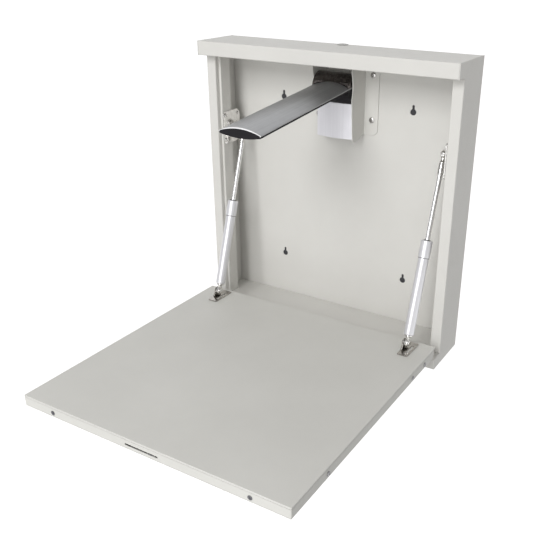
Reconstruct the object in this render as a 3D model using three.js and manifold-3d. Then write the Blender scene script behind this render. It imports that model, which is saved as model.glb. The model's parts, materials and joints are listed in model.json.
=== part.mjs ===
// Wall cabinet with a fold-down changing table, two gas struts and a folding arm.
// Millimetres. +X to the right, +Y into the wall, +Z up. The origin is the middle
// of the back panel's rear face, where the cabinet lies on the wall.
import * as THREE from 'three';
import Module from 'manifold-3d';
import { mergeVertices } from 'three/addons/utils/BufferGeometryUtils.js';

const wasm = await Module();
wasm.setup();

// ---- Driving dimensions ----------------------------------------------------
// Cabinet shell
const BODY_WIDTH = 600;
const BODY_HEIGHT = 640;
const BODY_DEPTH = 130;
const SHEET = 1.5;
const CAP_HEIGHT = 30;
const APRON_HEIGHT = 26;
const FLANGE_SETBACK = 29.5;
const FLANGE_WIDTH = 22;
const FLANGE_RETURN = 12.5;
const LIP_STEP = 6;
const INNER_WALL_DEPTH = 32;
const BEND_RADIUS = 1.6;
const CAP_LIP = 22;
const APRON_LIP = 22;
const REAR_FLANGE = 14;
const CONTACT_GAP = 0.3;

// Keyholes in the back panel
const KEYHOLE_RADIUS = 6.75;
const KEYHOLE_SLOT_WIDTH = 5.4;
const KEYHOLE_RISE = 15;
const KEYHOLE_SPACING_X = 320;
const KEYHOLE_LOW = 130;
const KEYHOLE_HIGH = 515;

// Plug in the cap
const PLUG_RADIUS = 12.5;
const PLUG_STEM_RADIUS = 7;
const PLUG_X = -3;
const PLUG_BACK_OFFSET = 16;

// Table
const TABLE_THICKNESS = 26;
const TABLE_SIDE_GAP = 1;
const TABLE_TOP_GAP = 1.5;
const TABLE_SHEET = 1.2;
const COVER_DEPTH = 3.3;
const SEAM = 0.7;
const PAN_CORNER = 6;
const PAN_RIM = 13;
const HINGE_INSET = 3;
const HINGE_RISE = 5.5;
const REAR_WALL_OFFSET = 5;
const COVER_OVERHANG = 1.5;

// Piano hinge
const KNUCKLE_RADIUS = 3.5;
const HINGE_PIN_RADIUS = 1.5;
const HINGE_CLEARANCE = 0.35;
const LEAF_THICKNESS = 1.2;
const LEAF_WIDTH = 20;
const HINGE_LENGTH = 560;
const KNUCKLES = 9;

// Finger slot and latch in the table's front edge
const SLOT_LEFT = -44;
const SLOT_RIGHT = 31;
const SLOT_HEIGHT = 4;
const EDGE_FEATURE_DEPTH = 13.5;
const BOLT_WIDTH = 12;
const BOLT_THICKNESS = 2.6;
const BOLT_LENGTH = 30;
const BOLT_X = 15;
const BOLT_TRAVEL = 5;
const LATCH_CLEARANCE = 0.5;

// Table screws
const FRONT_SCREW_X = 222;
const SIDE_SCREWS_FROM_HINGE = [57, 118, 463];

// Gas struts
const STRUT_X = 248;
const LOWER_PIN_FORWARD = 36;
const LOWER_PIN_HEIGHT = 13.5;
const UPPER_PIN_DEPTH = 36;
const UPPER_PIN_HEIGHT = 446;
const EYE_RADIUS = 9;
const EYE_THICKNESS = 8;
const PIN_RADIUS = 3.8;
const PIN_CLEARANCE = 0.35;
const TUBE_RADIUS = 11;
const TUBE_WALL = 1.6;
const TUBE_START = 18;
const TUBE_END = 217;
const SLEEVE_LENGTH = 33;
const SLEEVE_WALL = 1;
const ROD_RADIUS = 5;
const ROD_IN_TUBE = 155;
const PISTON_LENGTH = 9;
const FITTING_RADIUS = 6.6;
const FITTING_LENGTH = 42;

// Strut brackets
const FOOT_LENGTH = 62;
const FOOT_WIDTH = 24;
const FOOT_BACK_MARGIN = 9;
const FOOT_THICKNESS = 2.2;
const EAR_THICKNESS = 3;
const EAR_GAP = 0.6;
const WALL_PLATE_THICKNESS = 2.5;
const WALL_PLATE_FRONT = 87;
const WALL_PLATE_BACK = 26;
const WALL_PLATE_BELOW = 38;
const WALL_PLATE_ABOVE = 36;
const SPARE_HOLE_RADIUS = 3;
const SPARE_HOLE_MARGIN = 9;
const BOSS_HEIGHT = 2;
const BOSS_RADIUS = 8.5;

// Arm and its bracket
const ARM_WIDTH = 90;
const ARM_THICKNESS = 20;
const ARM_LENGTH = 352;
const ARM_TAIL = 8;
const ARM_OFFSET = 22;
const ARM_DROOP = 5.7;
const ARM_SHELL = 2.4;
const ARM_CORE_WALL = 3;
const ARM_CAP_THICKNESS = 6;
const ARM_PIVOT_DEPTH = 44;
const ARM_PIVOT_HEIGHT = 542;
const ARM_SIDE_GAP = 1;
const HUB_RADIUS = 16.5;
const HUB_CHEEK = 14;
const HOOD_REAR_SHIFT = 4;
const HOOD_BASE = 6;
const HOOD_REACH = 34;
const HOOD_HEIGHT = 40;
const ARM_PIN_RADIUS = 4;
const BRACKET_SHEET = 2;
const BRACKET_FLANGE = 32;
const CHEEK_DROP = 10;
const BRACKET_BOTTOM = 455;
const BRACKET_TOP = 614;
const BRACKET_FRONT_TOP = 66;
const BRACKET_FRONT_BOTTOM = 56;
const BRACKET_SCREW_X = 66;
const BRACKET_SCREW_LOW = 488;
const BRACKET_SCREW_HIGH = 582;
const COVER_TOP = 524;
const COVER_BULGE_DEPTH = 42;
const COVER_EDGE_DEPTH = 35;
const COVER_RETURN = 14;
const COVER_LEFT = 51.5;
const COVER_BOTTOM = 448;
const COVER_WALL = 1.6;

// Screws
const SCREW_HEAD = 4.6;
const SCREW_HEAD_HEIGHT = 2.4;
const FRONT_SCREW_RISE = 1.1;
const PLATE_SCREW_HEAD = 5;
const PLATE_SCREW_RISE = 3.2;
const BRACKET_SCREW_HEAD = 6;
const BRACKET_SCREW_RISE = 3;
const SCREW_SHANK = 2;
const SCREW_LENGTH = 9;
const SCREW_CLEARANCE = 0.35;

// ---- Derived places --------------------------------------------------------
const HALF = BODY_WIDTH / 2;
const FLANGE_FACE = -(BODY_DEPTH - FLANGE_SETBACK);
const INNER_WALL_X = HALF - FLANGE_WIDTH - LIP_STEP;
const PANEL_FRONT = -SHEET - CONTACT_GAP;
const HINGE_Y = -(BODY_DEPTH - HINGE_INSET);
const HINGE_Z = APRON_HEIGHT + HINGE_RISE;
const TABLE_HALF = HALF - TABLE_SIDE_GAP;
const TABLE_BOTTOM = HINGE_Z - HINGE_INSET;
const TABLE_TOP = TABLE_BOTTOM + TABLE_THICKNESS;
const TABLE_REACH = BODY_HEIGHT - CAP_HEIGHT - TABLE_TOP_GAP - HINGE_Z;
const TABLE_FRONT = HINGE_Y - TABLE_REACH;
const TABLE_REAR = HINGE_Y + COVER_OVERHANG;
const PAN_REAR = HINGE_Y - REAR_WALL_OFFSET;
const PAN_TOP = TABLE_TOP - COVER_DEPTH - SEAM;
const EDGE_FEATURE_Z = TABLE_TOP - EDGE_FEATURE_DEPTH;
const LOWER_PIN = { y: HINGE_Y - LOWER_PIN_FORWARD, z: TABLE_TOP + LOWER_PIN_HEIGHT };
const UPPER_PIN = { y: -UPPER_PIN_DEPTH, z: UPPER_PIN_HEIGHT };
const STRUT_LENGTH = Math.hypot(UPPER_PIN.y - LOWER_PIN.y, UPPER_PIN.z - LOWER_PIN.z);
const STRUT_LEAN = Math.atan2(UPPER_PIN.y - LOWER_PIN.y, UPPER_PIN.z - LOWER_PIN.z);
const BRACKET_INNER = ARM_WIDTH / 2 + ARM_SIDE_GAP;

// ---- Materials -------------------------------------------------------------
const paint = (color) => ({ color, metalness: 0.1, roughness: 0.45 });
const FINISHES = {
  cabinet_paint: paint(0xe2e1dc),
  table_paint: paint(0xdcdbd5),
  bright_steel: { color: 0xd5d5d8, metalness: 1, roughness: 0.22 },
  tube_silver: { color: 0xdadade, metalness: 0.8, roughness: 0.3 },
  satin_aluminium: { color: 0x9b9da1, metalness: 0.9, roughness: 0.38 },
  pale_aluminium: { color: 0xd6d5dc, metalness: 0.6, roughness: 0.45 },
  black_plastic: { color: 0x232126, metalness: 0, roughness: 0.5 },
  grey_plastic: { color: 0xb7b6b2, metalness: 0, roughness: 0.5 },
};

// ---- Solid helpers ---------------------------------------------------------
const X_AXIS = new THREE.Vector3(1, 0, 0);
const Y_AXIS = new THREE.Vector3(0, 1, 0);
const Z_AXIS = new THREE.Vector3(0, 0, 1);

function toSolid(geometry) {
  const bare = geometry.clone();
  bare.deleteAttribute('normal');
  bare.deleteAttribute('uv');
  const merged = mergeVertices(bare, 1e-4);
  return new wasm.Manifold(new wasm.Mesh({
    numProp: 3,
    vertProperties: new Float32Array(merged.attributes.position.array),
    triVerts: new Uint32Array(merged.index.array),
  }));
}

function toGeometry(solid) {
  const mesh = solid.getMesh();
  const geometry = new THREE.BufferGeometry();
  geometry.setAttribute('position', new THREE.BufferAttribute(new Float32Array(mesh.vertProperties), 3));
  geometry.setIndex(new THREE.BufferAttribute(new Uint32Array(mesh.triVerts), 1));
  geometry.computeVertexNormals();
  return geometry;
}

const join = (first, ...others) => others.reduce((sum, solid) => sum.add(solid), first);
const cut = (first, ...others) => others.reduce((rest, solid) => rest.subtract(solid), first);

// A flat shape drawn in (y, z), (x, z) or (x, y), carried along the third axis.
function prism(shape, axis, from, to, curveSegments = 12) {
  const geometry = new THREE.ExtrudeGeometry(shape, {
    depth: to - from,
    bevelEnabled: false,
    curveSegments,
  });
  const turn = new THREE.Matrix4();
  if (axis === 'x') {
    turn.makeBasis(Y_AXIS, Z_AXIS, X_AXIS).setPosition(from, 0, 0);
  } else if (axis === 'y') {
    turn.makeBasis(X_AXIS, Z_AXIS, Y_AXIS.clone().negate()).setPosition(0, to, 0);
  } else {
    turn.setPosition(0, 0, from);
  }
  return toSolid(geometry.applyMatrix4(turn));
}

function block(x0, x1, y0, y1, z0, z1) {
  const geometry = new THREE.BoxGeometry(x1 - x0, y1 - y0, z1 - z0);
  geometry.translate((x0 + x1) / 2, (y0 + y1) / 2, (z0 + z1) / 2);
  return toSolid(geometry);
}

// A profile of [radius, height] points turned about an axis through a centre.
function turned(profile, axis, centre = [0, 0, 0], segments = 24) {
  const points = profile.map(([r, h]) => new THREE.Vector2(r, h));
  const geometry = new THREE.LatheGeometry(points, segments);
  const turn = new THREE.Matrix4();
  if (axis === 'x') turn.makeBasis(Y_AXIS, X_AXIS, Z_AXIS.clone().negate());
  if (axis === '-x') turn.makeBasis(Y_AXIS, X_AXIS.clone().negate(), Z_AXIS);
  if (axis === '-y') turn.makeBasis(X_AXIS, Y_AXIS.clone().negate(), Z_AXIS.clone().negate());
  if (axis === 'z') turn.makeBasis(X_AXIS, Z_AXIS, Y_AXIS.clone().negate());
  geometry.applyMatrix4(turn);
  geometry.translate(...centre);
  const solid = toSolid(geometry);
  return solid.volume() < 0 ? toSolid(flipped(geometry)) : solid;
}

function flipped(geometry) {
  const index = geometry.index.array;
  for (let i = 0; i < index.length; i += 3) {
    [index[i], index[i + 1]] = [index[i + 1], index[i]];
  }
  return geometry;
}

function rod(axis, radius, from, to, centre = [0, 0, 0], segments = 24) {
  return turned([[0, from], [radius, from], [radius, to], [0, to]], axis, centre, segments);
}

function shapeFrom(points) {
  return new THREE.Shape(points.map(([a, b]) => new THREE.Vector2(a, b)));
}

// A rectangle with one radius for each corner, anticlockwise from the lower left.
function roundedRect(a0, a1, b0, b1, radii) {
  const [ll, lr, ur, ul] = radii;
  const shape = new THREE.Shape();
  shape.moveTo(a0 + ll, b0);
  shape.lineTo(a1 - lr, b0);
  if (lr > 0) shape.absarc(a1 - lr, b0 + lr, lr, -Math.PI / 2, 0, false);
  shape.lineTo(a1, b1 - ur);
  if (ur > 0) shape.absarc(a1 - ur, b1 - ur, ur, 0, Math.PI / 2, false);
  shape.lineTo(a0 + ul, b1);
  if (ul > 0) shape.absarc(a0 + ul, b1 - ul, ul, Math.PI / 2, Math.PI, false);
  shape.lineTo(a0, b0 + ll);
  if (ll > 0) shape.absarc(a0 + ll, b0 + ll, ll, Math.PI, Math.PI * 1.5, false);
  return shape;
}

// The section of a bent sheet: a centre line with rounded bends, given a thickness.
function bentSheet(points, thickness, bend = BEND_RADIUS, steps = 3) {
  const path = points.map(([a, b]) => new THREE.Vector2(a, b));
  const line = [];
  const addPoint = (point, direction) => line.push({ point, direction });
  const heading = (i) => path[i + 1].clone().sub(path[i]).normalize();
  addPoint(path[0], heading(0));
  for (let i = 1; i < path.length - 1; i += 1) {
    const before = heading(i - 1);
    const after = heading(i);
    const angle = Math.atan2(before.cross(after), before.dot(after));
    const trim = bend * Math.tan(Math.abs(angle) / 2);
    const start = path[i].clone().addScaledVector(before, -trim);
    const side = Math.sign(angle);
    const normal = new THREE.Vector2(-before.y, before.x).multiplyScalar(side);
    const centre = start.clone().addScaledVector(normal, bend);
    for (let k = 0; k <= steps; k += 1) {
      const turn = (angle * k) / steps;
      const spoke = start.clone().sub(centre).rotateAround(new THREE.Vector2(), turn);
      const direction = before.clone().rotateAround(new THREE.Vector2(), turn);
      addPoint(centre.clone().add(spoke), direction);
    }
  }
  addPoint(path[path.length - 1], heading(path.length - 2));
  const offset = ({ point, direction }, distance) => new THREE.Vector2(
    point.x - direction.y * distance,
    point.y + direction.x * distance,
  );
  const left = line.map((sample) => offset(sample, thickness / 2));
  const right = line.map((sample) => offset(sample, -thickness / 2)).reverse();
  return new THREE.Shape([...left, ...right]);
}

// ---- The assembly tree -----------------------------------------------------
const cabinet = new THREE.Group();
cabinet.position.z = -BODY_HEIGHT / 2;
const root = new THREE.Group();
root.add(cabinet);

function addNode(name, finish, solid, parent = cabinet) {
  const mesh = new THREE.Mesh(toGeometry(solid), new THREE.MeshStandardMaterial(FINISHES[finish]));
  mesh.name = name;
  parent.add(mesh);
  return mesh;
}

// A pan-head screw about its own axis, its head above 0 and its shank below.
function screwProfile(rise, head) {
  return [
    [0, -SCREW_LENGTH],
    [SCREW_SHANK, -SCREW_LENGTH + 1],
    [SCREW_SHANK, 0],
    [head, 0],
    [head, rise * 0.4],
    [head * 0.72, rise * 0.86],
    [0, rise],
  ];
}

// The screw's cross recess is cut square to its axis.
function screw(axis, centre, rise = SCREW_HEAD_HEIGHT, head = SCREW_HEAD) {
  const body = turned(screwProfile(rise, head), axis, centre, 16);
  const [x, y, z] = centre;
  const arm = head * 0.55;
  const half = head * 0.13;
  const sign = axis.startsWith('-') ? -1 : 1;
  const low = rise * 0.45;
  const high = rise * 1.5;
  const span = sign > 0 ? [low, high] : [-high, -low];
  const slots = axis.endsWith('x')
    ? [block(x + span[0], x + span[1], y - arm, y + arm, z - half, z + half),
      block(x + span[0], x + span[1], y - half, y + half, z - arm, z + arm)]
    : [block(x - arm, x + arm, y + span[0], y + span[1], z - half, z + half),
      block(x - half, x + half, y + span[0], y + span[1], z - arm, z + arm)];
  return cut(body, ...slots);
}

const screwHole = (axis, centre) => rod(
  axis,
  SCREW_SHANK + SCREW_CLEARANCE,
  -SCREW_LENGTH - 1,
  SCREW_HEAD_HEIGHT,
  centre,
  16,
);

// ---- Cabinet shell ---------------------------------------------------------
function keyhole(x, z) {
  const half = KEYHOLE_SLOT_WIDTH / 2;
  const spread = Math.asin(half / KEYHOLE_RADIUS);
  const hole = new THREE.Path();
  hole.moveTo(x + half, z + KEYHOLE_RADIUS * Math.cos(spread));
  hole.lineTo(x + half, z + KEYHOLE_RISE - half);
  hole.absarc(x, z + KEYHOLE_RISE - half, half, 0, Math.PI, false);
  hole.lineTo(x - half, z + KEYHOLE_RADIUS * Math.cos(spread));
  hole.absarc(x, z, KEYHOLE_RADIUS, Math.PI / 2 + spread, Math.PI * 2.5 - spread, false);
  return hole;
}

function bracketScrewPlaces() {
  const places = [];
  for (const side of [-1, 1]) {
    for (const height of [BRACKET_SCREW_LOW, BRACKET_SCREW_HIGH]) {
      places.push([side * BRACKET_SCREW_X, height]);
    }
  }
  return places;
}

function buildBackPanel() {
  const half = HALF - SHEET - CONTACT_GAP;
  const top = BODY_HEIGHT - SHEET - CONTACT_GAP;
  const shape = roundedRect(-half, half, 0, top, [0, 0, 0, 0]);
  for (const x of [-KEYHOLE_SPACING_X / 2, KEYHOLE_SPACING_X / 2]) {
    for (const z of [KEYHOLE_LOW, KEYHOLE_HIGH]) shape.holes.push(keyhole(x, z));
  }
  addNode('back_panel', 'cabinet_paint', prism(shape, 'y', -SHEET, 0, 8));
}

function buildSideWall(side) {
  const outline = shapeFrom([
    [0, 0], [-BODY_DEPTH, 0], [-BODY_DEPTH, APRON_HEIGHT], [FLANGE_FACE, APRON_HEIGHT],
    [FLANGE_FACE, BODY_HEIGHT - CAP_HEIGHT], [-BODY_DEPTH, BODY_HEIGHT - CAP_HEIGHT],
    [-BODY_DEPTH, BODY_HEIGHT], [0, BODY_HEIGHT],
  ]);
  const skin = side > 0
    ? prism(outline, 'x', HALF - SHEET, HALF)
    : prism(outline, 'x', -HALF, -HALF + SHEET);
  const mid = SHEET / 2;
  const frontLine = FLANGE_FACE + mid;
  const returnX = HALF - FLANGE_WIDTH - mid;
  const stepY = frontLine + FLANGE_RETURN;
  const innerX = INNER_WALL_X - mid + SHEET;
  const line = [
    [HALF - mid, frontLine + 20],
    [HALF - mid, frontLine],
    [returnX, frontLine],
    [returnX, stepY],
    [innerX, stepY],
    [innerX, stepY + INNER_WALL_DEPTH],
  ].map(([x, y]) => [side * x, y]);
  const section = bentSheet(line, SHEET);
  const edge = prism(section, 'z', APRON_HEIGHT + CONTACT_GAP, BODY_HEIGHT - SHEET - CONTACT_GAP);
  let wall = join(skin, edge);
  for (const height of wallPlateScrewHeights()) {
    wall = cut(wall, screwHole(side > 0 ? '-x' : 'x', [side * wallPlateFace(), wallPlateScrewY(), height]));
  }
  addNode(side > 0 ? 'right_side_wall' : 'left_side_wall', 'cabinet_paint', wall);
}

const CAP_HALF = HALF - SHEET - CONTACT_GAP;
const BOLT_CLOSED_Y = HINGE_Y + (EDGE_FEATURE_Z - HINGE_Z);
const PLUG_Y = -PLUG_BACK_OFFSET;

function buildTopCap() {
  const mid = SHEET / 2;
  const rear = PANEL_FRONT - mid;
  const front = -BODY_DEPTH + mid;
  const line = [
    [rear, BODY_HEIGHT - REAR_FLANGE],
    [rear, BODY_HEIGHT - mid],
    [front, BODY_HEIGHT - mid],
    [front, BODY_HEIGHT - CAP_HEIGHT + mid],
    [front + CAP_LIP, BODY_HEIGHT - CAP_HEIGHT + mid],
  ];
  const skin = prism(bentSheet(line, SHEET), 'x', -CAP_HALF, CAP_HALF);
  const roof = BODY_HEIGHT;
  const plugHole = rod('z', PLUG_STEM_RADIUS + CONTACT_GAP, roof - 5, roof + 5, [PLUG_X, PLUG_Y, 0]);
  const play = LATCH_CLEARANCE + 1;
  const lockSlot = block(
    BOLT_X - BOLT_WIDTH / 2 - play,
    BOLT_X + BOLT_WIDTH / 2 + play,
    BOLT_CLOSED_Y - BOLT_THICKNESS / 2 - play,
    BOLT_CLOSED_Y + BOLT_THICKNESS / 2 + play,
    BODY_HEIGHT - CAP_HEIGHT - 2,
    BODY_HEIGHT - CAP_HEIGHT + 4,
  );
  addNode('top_cap', 'cabinet_paint', cut(skin, plugHole, lockSlot));
}

function buildBottomApron() {
  const mid = SHEET / 2;
  const rear = PANEL_FRONT - mid;
  const front = -BODY_DEPTH + mid;
  const line = [
    [rear, APRON_HEIGHT - REAR_FLANGE],
    [rear, APRON_HEIGHT - mid],
    [front, APRON_HEIGHT - mid],
    [front, mid],
    [front + APRON_LIP, mid],
  ];
  addNode('bottom_apron', 'cabinet_paint', prism(bentSheet(line, SHEET), 'x', -CAP_HALF, CAP_HALF));
}

function buildPlug() {
  const seat = BODY_HEIGHT + CONTACT_GAP;
  const profile = [
    [0, seat - 8], [PLUG_STEM_RADIUS, seat - 8], [PLUG_STEM_RADIUS, seat], [PLUG_RADIUS, seat],
    [PLUG_RADIUS - 0.6, seat + 1], [PLUG_RADIUS - 3, seat + 1.7], [0, seat + 2],
  ];
  addNode('cap_plug', 'grey_plastic', turned(profile, 'z', [PLUG_X, PLUG_Y, 0]));
}

// ---- Piano hinge -----------------------------------------------------------
const KNUCKLE_PITCH = HINGE_LENGTH / KNUCKLES;

function knuckles(parity) {
  const parts = [];
  for (let i = parity; i < KNUCKLES; i += 2) {
    const from = -HINGE_LENGTH / 2 + i * KNUCKLE_PITCH + HINGE_CLEARANCE;
    const to = from + KNUCKLE_PITCH - 2 * HINGE_CLEARANCE;
    parts.push({ from, to });
  }
  return parts;
}

function buildHinge(table) {
  const round = (radius, from, to) => rod('x', radius, from, to, [0, HINGE_Y, HINGE_Z], 16);
  const bore = round(HINGE_PIN_RADIUS + HINGE_CLEARANCE, -HINGE_LENGTH, HINGE_LENGTH);
  const barrel = ({ from, to }) => round(KNUCKLE_RADIUS, from, to);
  const floor = APRON_HEIGHT + CONTACT_GAP;
  const half = HINGE_LENGTH / 2;
  const fixedPlate = block(-half, half, HINGE_Y, HINGE_Y + LEAF_WIDTH, floor, floor + LEAF_THICKNESS);
  const fixedParts = knuckles(0).flatMap((span) => [
    barrel(span),
    block(span.from, span.to, HINGE_Y, HINGE_Y + 2.4, floor, HINGE_Z),
  ]);
  addNode('hinge_fixed_leaf', 'bright_steel', cut(join(fixedPlate, ...fixedParts), bore));
  const face = PAN_REAR + CONTACT_GAP;
  const low = HINGE_Z - HINGE_INSET + 0.5;
  const movingPlate = block(-half, half, face, face + LEAF_THICKNESS, low, low + LEAF_WIDTH - 2);
  const movingParts = knuckles(1).flatMap((span) => [
    barrel(span),
    block(span.from, span.to, face, HINGE_Y, HINGE_Z - 1, HINGE_Z + 1.4),
  ]);
  const clear = knuckles(0).map(({ from, to }) => round(
    KNUCKLE_RADIUS + HINGE_CLEARANCE,
    from - HINGE_CLEARANCE,
    to + HINGE_CLEARANCE,
  ));
  const movingLeaf = cut(join(movingPlate, ...movingParts), bore, ...clear);
  addNode('hinge_table_leaf', 'bright_steel', movingLeaf, table);
  addNode('hinge_pin', 'bright_steel', round(HINGE_PIN_RADIUS, -half - 1, half + 1));
}

// ---- Table -----------------------------------------------------------------
// The pan is where a rounded section seen from the front meets one seen from the side.
function panBlock(inset, top, cornerRadius) {
  const acrossX = roundedRect(
    -TABLE_HALF + inset,
    TABLE_HALF - inset,
    TABLE_BOTTOM + inset,
    top,
    [cornerRadius, cornerRadius, 0, 0],
  );
  const alongY = roundedRect(
    TABLE_FRONT + inset,
    PAN_REAR - inset,
    TABLE_BOTTOM + inset,
    top,
    [cornerRadius, 1, 0, 0],
  );
  const across = prism(acrossX, 'y', TABLE_FRONT + inset, PAN_REAR - inset, 4);
  const along = prism(alongY, 'x', -TABLE_HALF + inset, TABLE_HALF - inset, 4);
  return across.intersect(along);
}

function sideScrewPlaces() {
  return SIDE_SCREWS_FROM_HINGE.map((distance) => HINGE_Y - distance);
}

function buildTablePan(table) {
  const inner = panBlock(TABLE_SHEET, PAN_TOP - TABLE_SHEET, PAN_CORNER - TABLE_SHEET);
  const openTop = block(
    -TABLE_HALF + PAN_RIM,
    TABLE_HALF - PAN_RIM,
    TABLE_FRONT + PAN_RIM,
    PAN_REAR - PAN_RIM,
    TABLE_BOTTOM + PAN_CORNER,
    PAN_TOP + 1,
  );
  const slotShape = roundedRect(
    SLOT_LEFT,
    SLOT_RIGHT,
    EDGE_FEATURE_Z - SLOT_HEIGHT / 2,
    EDGE_FEATURE_Z + SLOT_HEIGHT / 2,
    Array(4).fill(SLOT_HEIGHT / 2 - 0.2),
  );
  const slot = prism(slotShape, 'y', TABLE_FRONT - 3, TABLE_FRONT + 5, 4);
  let pan = cut(panBlock(0, PAN_TOP, PAN_CORNER), inner, openTop, slot);
  for (const side of [-1, 1]) {
    pan = cut(pan, screwHole('-y', [side * FRONT_SCREW_X, TABLE_FRONT, EDGE_FEATURE_Z]));
    for (const y of sideScrewPlaces()) {
      pan = cut(pan, screwHole(side > 0 ? 'x' : '-x', [side * TABLE_HALF, y, EDGE_FEATURE_Z]));
    }
  }
  addNode('table_pan', 'table_paint', pan, table);
}

function buildTableCover(table) {
  const low = TABLE_TOP - COVER_DEPTH;
  const lidShape = roundedRect(TABLE_FRONT, TABLE_REAR, low, TABLE_TOP, [0, 0, 1, 1]);
  const lid = prism(lidShape, 'x', -TABLE_HALF, TABLE_HALF, 3);
  const hollow = block(
    -TABLE_HALF + TABLE_SHEET,
    TABLE_HALF - TABLE_SHEET,
    TABLE_FRONT + TABLE_SHEET,
    TABLE_REAR - TABLE_SHEET,
    low - 1,
    TABLE_TOP - SHEET,
  );
  addNode('table_cover', 'table_paint', cut(lid, hollow), table);
}

// A hat section across the table, under the cover.
function buildStiffener(table) {
  const middle = (TABLE_FRONT + PAN_REAR) / 2;
  const floor = TABLE_BOTTOM + TABLE_SHEET + CONTACT_GAP + TABLE_SHEET / 2;
  const roof = TABLE_TOP - SHEET - CONTACT_GAP - TABLE_SHEET / 2;
  const line = [
    [middle - 45, floor], [middle - 25, floor], [middle - 20, roof],
    [middle + 20, roof], [middle + 25, floor], [middle + 45, floor],
  ];
  const reach = TABLE_HALF - PAN_RIM - 2;
  addNode('table_stiffener', 'table_paint', prism(bentSheet(line, TABLE_SHEET), 'x', -reach, reach), table);
}

function buildTableScrews(table) {
  for (const [name, side] of [['left', -1], ['right', 1]]) {
    const front = [side * FRONT_SCREW_X, TABLE_FRONT - CONTACT_GAP, EDGE_FEATURE_Z];
    addNode(`table_front_screw_${name}`, 'bright_steel', screw('-y', front, FRONT_SCREW_RISE), table);
    sideScrewPlaces().forEach((y, i) => {
      const place = [side * (TABLE_HALF + CONTACT_GAP), y, EDGE_FEATURE_Z];
      const head = screw(side > 0 ? 'x' : '-x', place);
      addNode(`table_side_screw_${name}_${i + 1}`, 'bright_steel', head, table);
    });
  }
}

function buildLatch(table) {
  const tip = TABLE_FRONT + CONTACT_GAP;
  const z0 = EDGE_FEATURE_Z - BOLT_THICKNESS / 2;
  const z1 = EDGE_FEATURE_Z + BOLT_THICKNESS / 2;
  const x0 = BOLT_X - BOLT_WIDTH / 2;
  const x1 = BOLT_X + BOLT_WIDTH / 2;
  const nose = 3;
  const outline = shapeFrom([
    [tip, z0], [tip + BOLT_LENGTH, z0], [tip + BOLT_LENGTH, z1], [tip + nose, z1], [tip, z1 - 1.6],
  ]);
  addNode('latch_bolt', 'bright_steel', prism(outline, 'x', x0, x1), table);
  const wall = 1.5;
  const gap = LATCH_CLEARANCE;
  const back = TABLE_FRONT + TABLE_SHEET + CONTACT_GAP;
  const floor = TABLE_BOTTOM + TABLE_SHEET + CONTACT_GAP;
  const end = back + BOLT_LENGTH - 8;
  const head = block(x0 - gap - wall, x1 + gap + wall, back, end, z0 - gap - wall, z1 + gap + wall);
  const pedestal = block(x0 - gap, x1 + gap, back + PAN_CORNER, end, floor, z0 - gap);
  const guide = join(head, pedestal);
  const channel = block(x0 - gap, x1 + gap, back - 1, back + BOLT_LENGTH, z0 - gap, z1 + gap);
  addNode('latch_guide', 'grey_plastic', cut(guide, channel), table);
}

// ---- Strut brackets --------------------------------------------------------
function wallPlateFace() {
  return INNER_WALL_X - CONTACT_GAP - WALL_PLATE_THICKNESS;
}

function wallPlateScrewY() {
  return -(WALL_PLATE_FRONT - 6.5);
}

function wallPlateScrewHeights() {
  return [UPPER_PIN_HEIGHT - WALL_PLATE_BELOW + 9, UPPER_PIN_HEIGHT + WALL_PLATE_ABOVE - 9];
}

function buildWallPlate(side) {
  const name = side > 0 ? 'right' : 'left';
  const shape = roundedRect(
    -WALL_PLATE_FRONT,
    -WALL_PLATE_BACK,
    UPPER_PIN_HEIGHT - WALL_PLATE_BELOW,
    UPPER_PIN_HEIGHT + WALL_PLATE_ABOVE,
    [5, 20, 14, 5],
  );
  const face = wallPlateFace();
  const plate = side > 0
    ? prism(shape, 'x', face, face + WALL_PLATE_THICKNESS, 6)
    : prism(shape, 'x', -face - WALL_PLATE_THICKNESS, -face, 6);
  const axis = side > 0 ? '-x' : 'x';
  const boss = rod(axis, BOSS_RADIUS, -1, BOSS_HEIGHT, [side * face, UPPER_PIN.y, UPPER_PIN.z]);
  const spareY = -WALL_PLATE_BACK - SPARE_HOLE_MARGIN;
  const spareZ = UPPER_PIN_HEIGHT + WALL_PLATE_ABOVE - SPARE_HOLE_MARGIN;
  const spareHole = rod(axis, SPARE_HOLE_RADIUS, -9, 9, [side * face, spareY, spareZ], 16);
  const places = wallPlateScrewHeights().map((height) => [side * face, wallPlateScrewY(), height]);
  const holes = places.map((place) => screwHole(axis, place));
  addNode(`${name}_upper_strut_bracket`, 'bright_steel', cut(join(plate, boss), spareHole, ...holes));
  places.forEach(([x, y, z], i) => {
    const seat = [x - side * CONTACT_GAP, y, z];
    const whole = screw(axis, seat, PLATE_SCREW_RISE, PLATE_SCREW_HEAD);
    addNode(`${name}_upper_bracket_screw_${i + 1}`, 'bright_steel', whole);
  });
}

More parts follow.
